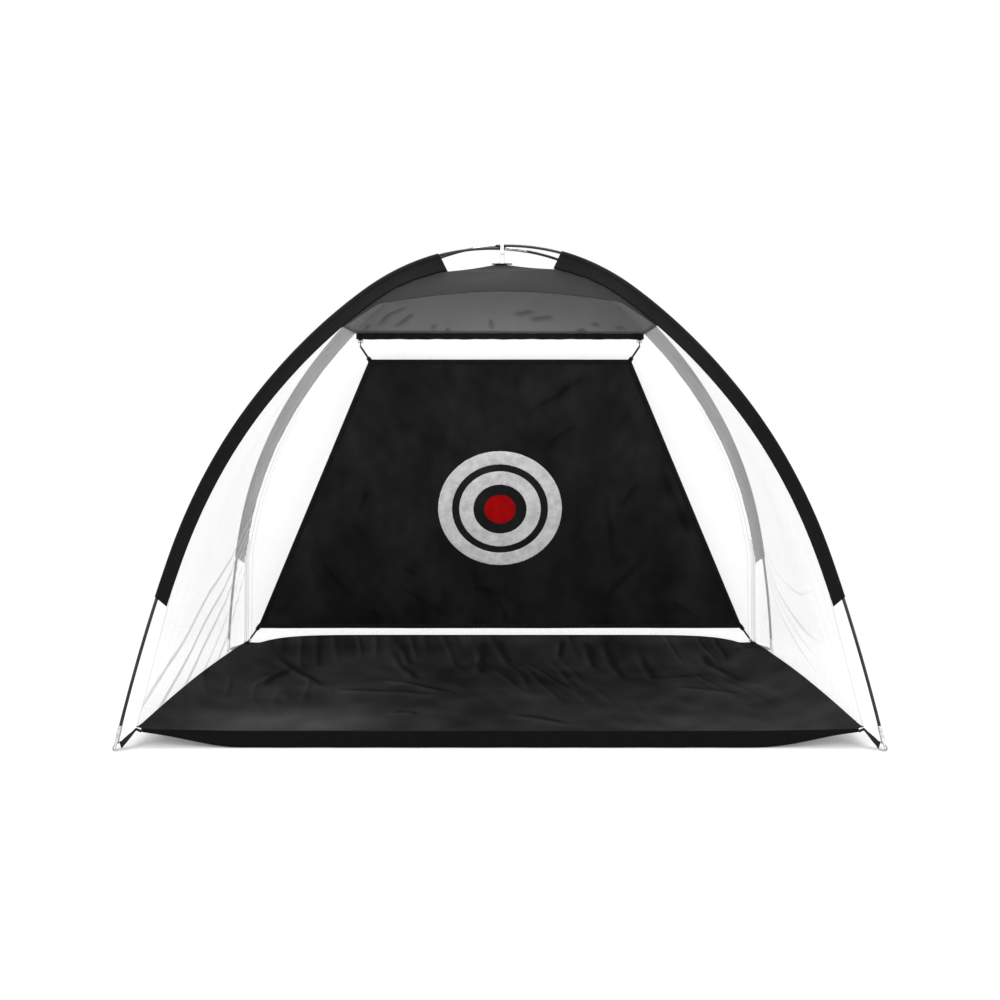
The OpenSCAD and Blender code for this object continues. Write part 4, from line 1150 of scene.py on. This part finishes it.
class MakeFloor(bpy.types.Operator):
    """The floor cloth, raised along its edges, and a near-black skirt along its front that paints the
    shade under that edge.
    """

    bl_idname = "chipping_net.floor"
    bl_label = "Floor cloth"

    def execute(self, context):
        self.sheet()
        self.skirt()
        return {"FINISHED"}

    def crease(self, p):
        return max(ridge(p.x, p.y, crease) for crease in FLOOR_CREASES)

    def rumple(self, p):
        """Small folds that come and go, most of them in the back half."""
        bend = 0.03 * crumple(p, 4, 11.0)
        line = noise.noise(Vector(((p.x + bend) * 13 + p.y * 4, p.y * 1.6, 5)))
        come = ease(crumple(p, 3.5, 21.0) * 5 + 0.35)
        return come * bell(line, 0.12) * (0.25 + 0.75 * ease(p.y * 3 + 0.6))

    def sheet(self):
        fold = sizes().floor_fold
        finish = woven_finish(
            "floor cloth", colours().floor, rough=0.85, sheen=0.0, lift=1.4, drop=0.8,
            crease=0.0012, gloss=0.04, deep=0.16)

        def folded(u, v):
            p = floor_at(2 * u - 1, 2 * v - 1)
            dark = 0.82 + 0.3 * crumple(p, 4, 2.0) + 0.16 * crumple(p, 13, 7.0)
            # Painted shade and highlight: darker on one side of each small fold, paler on the other.
            dark += 0.25 * (self.rumple(p - Vector((0.008, 0, 0))) - self.rumple(p))
            for x, y, wide, deep, highlight in PAINTED_HIGHLIGHTS:
                dark -= highlight * math.exp(-(((p.x - x) / wide) ** 2) - ((p.y - y) / deep) ** 2)
            # Painted shade on one side of each crease, painted highlight on the other.
            side = Vector((0.009, 0.005, 0))
            return dark + 0.4 * self.crease(p - side) - 0.22 * self.crease(p + side)

        def place(u, v):
            x, y = 2 * u - 1, 2 * v - 1
            p = floor_at(x, y)
            wave = 0.9 * crumple(p, 4.2, 1.0) + 0.4 * crumple(p, 11, 6.0)
            wave += 1.1 * self.crease(p) + 0.4 * self.rumple(p)
            for corner in (LEFT, RIGHT):
                dx, dy = p.x - corner * FLOOR_WIDTH[BACK], p.y - FLOOR_DEPTH
                far = math.hypot(dx, dy)
                angle = math.atan2(-dy, -corner * dx)
                wave += 0.7 * math.sin(angle * 15 + corner) * bell(far, 0.5) * ease(far * 7)
            inside = ease((1 - max(abs(x), abs(y))) * 9)
            return p + Vector((0, 0, max(LYING - p.z, fold * wave * inside)))

        sheet = rolled(
            "floor_sheet", (250, 130), (1.9, 0.96), place, finish,
            thickness=sizes().cloth, fold=folded)
        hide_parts("floor_cloth")

    def skirt(self):
        low, high = (Vector(c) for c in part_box("floor_front_hem"))
        # Near black: painted shade under the floor's front edge.
        finish = webbing_finish("skirt painted shadow", shade(colours().floor, 0.05), rib=0.0016)

        def place(u, v):
            x = (2 * v - 1) * SKIRT_WIDTH
            top = floor_at(x, -1).z
            reach = clamp((1 - abs(x)) / (1 - FLAT_FRONT))
            bottom = mix(top - SKIRT_END, SKIRT_LOW, ease(reach))
            ripple = 0.0005 * math.sin(v * 70) * u
            return Vector((x * FLOOR_WIDTH[FRONT], (low.y + high.y) / 2 - ripple, mix(top, bottom, u)))

        skirt = rolled(
            "floor_skirt", (10, 240), (0.05, 1.85), place, finish, thickness=0.0012)
        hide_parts("floor_front_hem")


# ---- webbing round wire ----

# Radii of the corner rings' wire and of the small rings' wire, and how far out of its surface the
# middle of the webbing lies.
CORNER_WIRE, SMALL_WIRE, WEBBING_OUT = 0.0016, 0.0013, 0.00045 + 0.0008
# A corner strap's width and how far below the floor's edge its end lies; a small loop's width and
# thickness.
STRAP_WIDTH, STRAP_UNDER = 0.0198, 0.0023
LOOP_WIDTH, LOOP_THICKNESS = 0.0104, 0.0014
CORNER_TILT, CORNER_ROLL = math.radians(20), math.radians(28)
CORNER_RING_HEIGHT = 0.006
# From the pin's middle out to the ring's straight bar.
CORNER_BAR = 0.012 - CORNER_WIRE - PIN - 0.00035 + 0.010


def round_wire(centre, ahead, off, way, wire, angles):
    """The part of a webbing's path that goes round a wire, whose middle is centre."""
    turns = [math.radians(angle) for angle in angles]
    out = wire + WEBBING_OUT
    return [(centre + (ahead * math.cos(a) + off * math.sin(a)) * out, way) for a in turns]


class MakeCornerStraps(bpy.types.Operator):
    """Webbing from the floor's corners to the rings on the feet."""

    bl_idname = "chipping_net.corner_straps"
    bl_label = "Corner straps"

    def execute(self, context):
        finish = webbing_finish("corner webbing", colours().webbing, rib=0.0024)
        for corner, (sx, sy) in CORNERS.items():
            path = self.path(sx, sy)
            strap = band(
                f"corner_strap_{corner}", path, STRAP_WIDTH, finish,
                sizes().webbing, per_step=3)
            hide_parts("corner_straps")
        return {"FINISHED"}

    def path(self, sx, sy):
        """From round the ring's bar, with a twist, up to the corner and under the floor."""
        foot = leg(sx, sy, 1.0)
        base = Vector((foot.x, foot.y, 0))
        to = floor_corner(sx, sy) - foot
        reach = math.hypot(to.x, to.y)
        out = Vector((to.x, to.y, 0)).normalized()
        flat = Vector((-out.y, out.x, 0))
        up = Vector((0, 0, 1))
        roll = sx * sy * CORNER_ROLL
        ahead = out * math.cos(CORNER_TILT) + up * math.sin(CORNER_TILT)
        raised = up * math.cos(CORNER_TILT) - out * math.sin(CORNER_TILT)
        bar = flat * math.cos(roll) + raised * math.sin(roll)
        off = ahead.cross(bar)
        at = base + up * CORNER_RING_HEIGHT + ahead * CORNER_BAR

        def below(d):
            height = floor_corner(sx, sy).z * near_edge(d) - STRAP_UNDER
            return base + out * (reach + d) + up * height

        leave = at + (CORNER_WIRE + WEBBING_OUT) * (1.1 * ahead + 1.2 * off)
        path = round_wire(at, ahead, off, bar, CORNER_WIRE, range(-60, -271, -15))
        path.append((leave, bar))
        path += [(mix(leave, below(0), q), mix(flat, bar, 1 - ease(q))) for q in (0.25, 0.5, 0.75)]
        return path + [(below(d), flat) for d in (0.0, 0.006, 0.012)]


# ---- target ----

AXIS = Vector(frame["joints"][0]["pos_m"])
BOTTOM_LINE = Vector((0, 0.442, 0.104))
# The target's upper and lower edge, down from its axis, its lean, and half its width at both.
TARGET_TOP, TARGET_BOTTOM = 0.058, (BOTTOM_LINE - AXIS).length
TILT = math.atan2(BOTTOM_LINE.y - AXIS.y, AXIS.z - BOTTOM_LINE.z)
HOOK_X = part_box("hem_rings")[1][0] - SMALL_WIRE - 0.0075
CORD_SPLAY = 0.027
TOP_HALF, BOTTOM_HALF = HOOK_X - CORD_SPLAY, FLOOR_WIDTH[BACK] - 0.058
SLOPE = (BOTTOM_HALF - TOP_HALF) / (TARGET_BOTTOM - TARGET_TOP)
# The bullseye's middle and radius; the rings' outer radius, width and the space between them.
BULL, BULL_R = TARGET_BOTTOM - 0.467, 0.054
RING_OUT, RING_WIDTH, RING_SPACE = 0.217, 0.051, 0.024
# Length of a hook's shank, how far a cord goes onto it, how far a tab reaches out, and the radius
# of the small rings.
SHANK, CORD_SEAT, TAB_OUT, SMALL_RING = 0.014, 0.0039, 0.0093, 0.009


def from_target(x, down, proud=0.0):
    """A point of the target's plane: x across, down from its axis, proud of it to the front."""
    y = down * math.sin(TILT) - proud * math.cos(TILT)
    z = -down * math.cos(TILT) - proud * math.sin(TILT)
    return AXIS + Vector((x, y, z))


def on_target(x, down, proud):
    """A point on the target's cloth, which billows a little."""
    flat = Vector((x, down, 0))
    billow = 0.0018 * crumple(flat, 3.2, 7.0) + 0.0007 * crumple(flat, 11, 8.0)
    return from_target(x, down, proud + billow)


RING_FOOT = floor_corner(RIGHT, BACK) + Vector((-0.013, -0.012, 0.0035))
TOP_CORNER = Vector((TOP_HALF, TARGET_TOP))
BOTTOM_CORNER = Vector((BOTTOM_HALF, TARGET_BOTTOM))
TOP_HOOK = Vector((HOOK_X, SHANK))
FLOOR_RING = RING_FOOT - AXIS
IN_PLANE = Vector((FLOOR_RING.x, FLOOR_RING.y * math.sin(TILT) - FLOOR_RING.z * math.cos(TILT)))
TOP_WAY = (TOP_HOOK - TOP_CORNER).normalized()
BOTTOM_WAY = (IN_PLANE - BOTTOM_CORNER).normalized()
CORD_START = from_target(*(BOTTOM_CORNER + BOTTOM_WAY * TAB_OUT))
PULL = (CORD_START - RING_FOOT).normalized()
HOOK_END = RING_FOOT + PULL * (SMALL_RING + SHANK)

# Creases of the target's cloth: their points, across and down from its axis, and width.
TARGET_CREASES = [
    ([(-0.373, 0.892), (-0.289, 0.949), (-0.179, 1.022)], 0.009),
    ([(-0.363, 0.817), (-0.293, 0.857)], 0.008),
    ([(-0.459, 0.519), (-0.498, 0.609)], 0.01),
    ([(0.308, 0.096), (0.171, 0.192), (0.069, 0.266)], 0.009),
    ([(0.359, 0.519), (0.379, 0.67), (0.399, 0.833)], 0.009),
    ([(0.482, 0.493), (0.4, 0.594)], 0.009),
    ([(0.506, 0.77), (0.364, 0.953)], 0.011),
    ([(-0.016, 0.949), (0.027, 1.03)], 0.008),
    ([(-0.102, 0.892), (-0.03, 0.924)], 0.008),
    ([(-0.473, 0.981), (-0.421, 1.038)], 0.008),
    ([(-0.644, 0.786), (-0.532, 0.945)], 0.01),
    ([(0.545, 0.446), (0.664, 0.708)], 0.012),
    ([(0.25, 0.284), (0.151, 0.362)], 0.008),
    ([(0.6, 0.945), (0.721, 1.034)], 0.009),
]


def mirrored(side, p):
    """A point of the right half, or the same of the left half."""
    return Vector((side * p.x, p.y, p.z))


class MakeTarget(bpy.types.Operator):
    """The hanging target: cloth, binding, two rings, red centre and corner tabs."""

    bl_idname = "chipping_net.target"
    bl_label = "Target"

    def execute(self, context):
        tape = webbing_finish("target binding", shade(colours().webbing, 0.8), rib=0.0019)
        self.cloth()
        self.binding(tape)
        self.discs()
        self.tabs(tape)
        return {"FINISHED"}

    def cloth(self):
        finish = woven_finish(
            "target cloth", colours().target, rough=0.85, sheen=0.02, lift=2.0, drop=0.85, gloss=0.06)

        def spot(u, v):
            down = mix(TARGET_TOP, TARGET_BOTTOM, v)
            return (2 * u - 1) * (TOP_HALF + SLOPE * (down - TARGET_TOP)), down

        def crease(x, down):
            return max(ridge(x, down, c) for c in TARGET_CREASES)

        def place(u, v):
            x, down = spot(u, v)
            return on_target(x, down, 0.0022 * crease(x, down))

        def folded(u, v):
            x, down = spot(u, v)
            flat = Vector((x * 1.6, down, 0))
            dark = 0.35 + 0.5 * crumple(flat, 6, 2.0) + 0.3 * crumple(flat, 17, 4.0)
            # Painted shade along one side of each crease; the noise above is the cloth's patchy tone.
            return dark + 0.45 * crease(x - 0.006, down + 0.006)

        sheet = rolled(
            "target_sheet", (220, 130), (1.75, 1.0), place, finish, "target",
            thickness=0.0012, fold=folded)
        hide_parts("target_cloth")

    def outline(self, grow):
        """The target's corners, moved out by grow, in order round it."""
        side = grow * math.hypot(1, SLOPE)
        top, bottom = TOP_HALF + side - SLOPE * grow, BOTTOM_HALF + side + SLOPE * grow
        high, low = TARGET_TOP - grow, TARGET_BOTTOM + grow
        return [Vector(c) for c in ((-top, high), (top, high), (bottom, low), (-bottom, low))]

    def binding(self, finish):
        # How far out and how proud the folded tape is, from its front edge round to its back one.
        fold = [
            (-0.0155, 0.0013), (-0.006, 0.0014), (0.0, 0.00135), (0.0008, 0.0),
            (0.0, -0.00135), (-0.006, -0.0014), (-0.0155, -0.0013)]

        def place(u, v):
            grow, proud = along_path(fold, u * (len(fold) - 1))
            corners = self.outline(grow)
            side = min(3, int(v * 4))
            p = mix(corners[side], corners[(side + 1) % 4], v * 4 - side)
            return on_target(p.x, p.y, proud * (1 + 0.12 * math.sin(v * 640)))

        edge = rolled(
            "target_edge", (len(fold) - 1, 480), (0.033, 5.0), place, finish, "target",
            thickness=0.0006)
        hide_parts("target_binding")

    def discs(self):
        inner = RING_OUT - RING_WIDTH - RING_SPACE
        grey = pile_finish("ring pile", colours().rings)
        red = pile_finish("centre pile", colours().centre, low=0.75)
        self.disc("outer_ring", RING_OUT - 0.003, RING_OUT - RING_WIDTH, grey, "print_grey")
        self.disc("inner_ring", inner - 0.001, inner - RING_WIDTH + 0.001, grey, "print_grey")
        self.disc("bullseye", BULL_R, 0.0, red, "print_red")

    def disc(self, name, outer, inner, finish, slot):
        """A ring or disc of pile, rounded off at its edges."""
        rise = [
            (0.0, 0.0), (0.0, 0.55), (0.03, 0.9), (0.1, 1.0), (0.5, 1.0),
            (0.9, 1.0), (0.97, 0.9), (1.0, 0.55), (1.0, 0.0), (0.5, 0.0), (0.0, 0.0)]
        if inner == 0:
            rise = [
                (0.0, 1.0), (0.25, 1.0), (0.5, 1.0), (0.75, 1.0),
                (0.93, 1.0), (0.98, 0.85), (1.0, 0.5), (1.0, 0.0)]
        pile = sizes().pile

        def place(u, v):
            share, high = along_path(rise, u * (len(rise) - 1))
            r = mix(inner, outer, share)
            angle = 2 * math.pi * v
            way = Vector((math.cos(angle), math.sin(angle), 0))
            if r > 0.01:
                r += 0.0011 * crumple(way * r, 170, 1.0)
            return on_target(r * way.x, BULL + r * way.y, 0.0008 + pile * high)

        piece = rolled(
            f"target_{name}_pile", (len(rise) - 1, 288), (0.1, 1.0), place, finish, "target",
            shut=True)
        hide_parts(f"target_{name}")

    def tabs(self, finish):
        spots = {"top": (TOP_CORNER, TOP_WAY), "bottom": (BOTTOM_CORNER, BOTTOM_WAY)}
        for end, (corner, way) in spots.items():
            for name, side in SIDES.items():

                def place(p, corner=corner, way=way, side=side):
                    at = corner + way * (p.x - 0.0035) + Vector((-way.y, way.x)) * p.y
                    return on_target(side * at.x, at.y, p.z)

                tab = block(
                    f"target_tab_{end}_{name}", (0.025, 0.014, 0.006), 0.0016, place, finish,
                    "target")
                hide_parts("target_tabs")


class MakeLoops(bpy.types.Operator):
    """Webbing loops that hold the small rings on the roof's hem and on the floor."""

    bl_idname = "chipping_net.loops"
    bl_label = "Loops"

    def execute(self, context):
        finish = webbing_finish("loop webbing", colours().webbing, rib=0.0018)
        for name, side in SIDES.items():
            for place, path in (("hem", self.hem_path(side)), ("floor", self.floor_path(side))):
                loop = band(
                    f"{place}_loop_{name}", path, LOOP_WIDTH, finish, LOOP_THICKNESS,
                    per_step=2)
                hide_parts(f"{place}_loops")
        return {"FINISHED"}

    def hem_path(self, side):
        across, ahead, up = Vector((1, 0, 0)), Vector((0, 1, 0)), Vector((0, 0, 1))
        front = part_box("roof_back_hem")[0][1] - 0.0011
        bar = Vector((side * HOOK_X, AXIS.y, AXIS.z + SMALL_RING))
        path = round_wire(bar, ahead, up, across, SMALL_WIRE, range(-30, -271, -20))
        top = bar.z + (SMALL_WIRE + WEBBING_OUT)
        return path + [(Vector((bar.x, front, top + d)), across) for d in (0.003, 0.008, 0.014)]

    def floor_path(self, side):
        foot = mirrored(side, RING_FOOT)
        level = mirrored(side, Vector((PULL.x, PULL.y, 0)).normalized())
        across, up = Vector((-level.y, level.x, 0)), Vector((0, 0, 1))
        path = round_wire(foot, -level, up, across, SMALL_WIRE, range(30, 271, 20))
        flat = ((0.005, -0.0015), (0.007, -0.0011), (0.010, -0.0011))
        return path + [(foot - level * d + up * z, across) for d, z in flat]


CORD_STEPS = 8


def straight(a, b):
    """Points along a cord from a to b."""
    return [mix(a, b, k / CORD_STEPS) for k in range(CORD_STEPS + 1)]


class MakeCords(bpy.types.Operator):
    """Elastic cords from the target's corners to its hooks."""

    bl_idname = "chipping_net.cords"
    bl_label = "Cords"

    def execute(self, context):
        finish = braid_finish("elastic braid", (0.014, 0.014, 0.015))
        radius = sizes().cord / 2
        for name, side in SIDES.items():
            low = TOP_CORNER + TOP_WAY * TAB_OUT
            high = TOP_HOOK - TOP_WAY * CORD_SEAT
            points = [from_target(side * p.x, p.y) for p in straight(low, high)]
            cord = tube(f"top_cord_{name}", points, radius, finish, "target")
            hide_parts("top_cords")

            start = mirrored(side, HOOK_END + PULL * CORD_SEAT)
            end = mirrored(side, CORD_START)
            points = straight(start, end)
            cord = tube(f"bottom_cord_{name}", points, radius, finish, None)
            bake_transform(cord)
            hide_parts("bottom_cords")
        return {"FINISHED"}


# ---- stage ----

# The camera's focal length in millimetres, its upward shift and where it stands.
LENS, SHIFT, EYE = 33.095, -0.0809, (0, -2.887, 0.86)
WHITE = (1, 1, 1, 1)
# Strength of the white surroundings, as light and as seen by the camera.
ROOM_LIGHT, ROOM_SEEN = 0.55, 1.0
LAMPS = {
    # name: place, aim, power and size
    "key": ((-2.6, -3.4, 3.4), (0, 0, 0.6), 105, 2.6),
    "fill": ((3.2, -2.8, 2.2), (0, 0, 0.5), 60, 2.8),
    "top": ((0, -0.2, 4.2), (0, 0, 0.4), 110, 2.4),
    "rim": ((0.6, 3.6, 2.6), (0, 0, 0.8), 50, 2.6),
}


class MakeStage(bpy.types.Operator):
    """White floor and backdrop, soft lamps and the camera."""

    bl_idname = "chipping_net.stage"
    bl_label = "Stage"

    def execute(self, context):
        scene = context.scene
        scene.view_settings.view_transform = "Standard"
        self.ground(scene)
        self.world(scene)
        self.lamps(scene)
        self.camera(scene)
        return {"FINISHED"}

    def camera(self, scene):
        data = bpy.data.cameras.new("camera")
        data.sensor_width = 36
        data.lens = LENS
        data.shift_y = SHIFT
        camera = bpy.data.objects.new("camera", data)
        camera.location = EYE
        camera.rotation_euler = (math.radians(90), 0, 0)
        scene.collection.objects.link(camera)
        scene.camera = camera

    def ground(self, scene):
        f = Finish("white floor", Roughness=0.9, Specular_IOR_Level=0.1)
        f.surface.inputs["Base Color"].default_value = (0.82, 0.82, 0.82, 1)
        seen = f.rays("Camera", "Glossy", "Transmission")
        place = f.coordinates("Object", (0.5, 0.8, 0))
        far = f.add("ShaderNodeVectorMath", {"operation": "LENGTH"}, {0: place}, output="Value")
        y = f.axes(f.coordinates("Object"))[1]
        ahead = f.ramp((y * -1.0 - 0.47) * 16.0, [(0.0, 0.0), (1.0, 0.8)])
        white = f.maths("MAXIMUM", ahead, f.ramp(far, [(0.5, 0.12), (1.0, 1.0)]))
        glow = f.add("ShaderNodeEmission", inputs={"Color": WHITE, "Strength": 1.0})
        lit = Value(f, f.surface.outputs[0])
        mixed = f.add("ShaderNodeMixShader", inputs={0: seen * white, 1: lit, 2: glow})
        out = next(n for n in f.tree.nodes if n.type == "OUTPUT_MATERIAL")
        f.tree.links.new(mixed.socket, out.inputs["Surface"])
        bm = bmesh.new()
        bmesh.ops.create_grid(bm, x_segments=4, y_segments=4, size=14)
        mesh = bpy.data.meshes.new("ground")
        bm.to_mesh(mesh)
        bm.free()
        mesh.materials.append(f.material)
        ground = bpy.data.objects.new("ground", mesh)
        scene.collection.objects.link(ground)

    def world(self, scene):
        world = bpy.data.worlds.new("white room")
        scene.world = world
        world.use_nodes = True
        nodes = Nodes(world.node_tree)
        nodes.tree.nodes.clear()
        light, seen = (
            nodes.add("ShaderNodeBackground", inputs={"Color": WHITE, "Strength": strength})
            for strength in (ROOM_LIGHT, ROOM_SEEN))
        rays = nodes.rays("Camera", "Transmission")
        room = nodes.add("ShaderNodeMixShader", inputs={0: rays, 1: light, 2: seen})
        nodes.add("ShaderNodeOutputWorld", inputs={"Surface": room})

    def lamps(self, scene):
        for name, (place, aim, power, size) in LAMPS.items():
            data = bpy.data.lights.new(name, "AREA")
            data.shape = "DISK"
            data.size = size
            data.energy = power
            lamp = bpy.data.objects.new(name, data)
            lamp.location = place
            way = Vector(aim) - Vector(place)
            lamp.rotation_euler = way.to_track_quat("-Z", "Y").to_euler()
            scene.collection.objects.link(lamp)


# ---- panel and run ----

STEPS = [
    MakePoles, MakeHardware, MakeSleeves, MakeCanopy, MakeRoofTrim, MakeNets, MakeFloor,
    MakeCornerStraps, MakeTarget, MakeLoops, MakeCords, MakeStage]


class NetPanel(bpy.types.Panel):
    """Lists the net's sizes, colours and pieces."""

    bl_idname = "VIEW3D_PT_chipping_net"
    bl_label = "Chipping net"
    bl_space_type = "VIEW_3D"
    bl_region_type = "UI"
    bl_category = "Chipping net"

    def draw(self, context):
        for group in (context.scene.net_sizes, context.scene.net_colours):
            for name in group.__annotations__:
                self.layout.prop(group, name)
        for step in STEPS:
            self.layout.operator(step.bl_idname)


CLASSES = [NetSizes, NetColours, *STEPS, NetPanel]


def register():
    for cls in CLASSES:
        bpy.utils.register_class(cls)
    bpy.types.Scene.net_sizes = bpy.props.PointerProperty(type=NetSizes)
    bpy.types.Scene.net_colours = bpy.props.PointerProperty(type=NetColours)


def unregister():
    del bpy.types.Scene.net_colours
    del bpy.types.Scene.net_sizes
    for cls in reversed(CLASSES):
        bpy.utils.unregister_class(cls)


def main():
    register()
    for step in STEPS:
        getattr(bpy.ops.chipping_net, step.bl_idname.split(".")[1])()


if __name__ == "__main__":
    main()
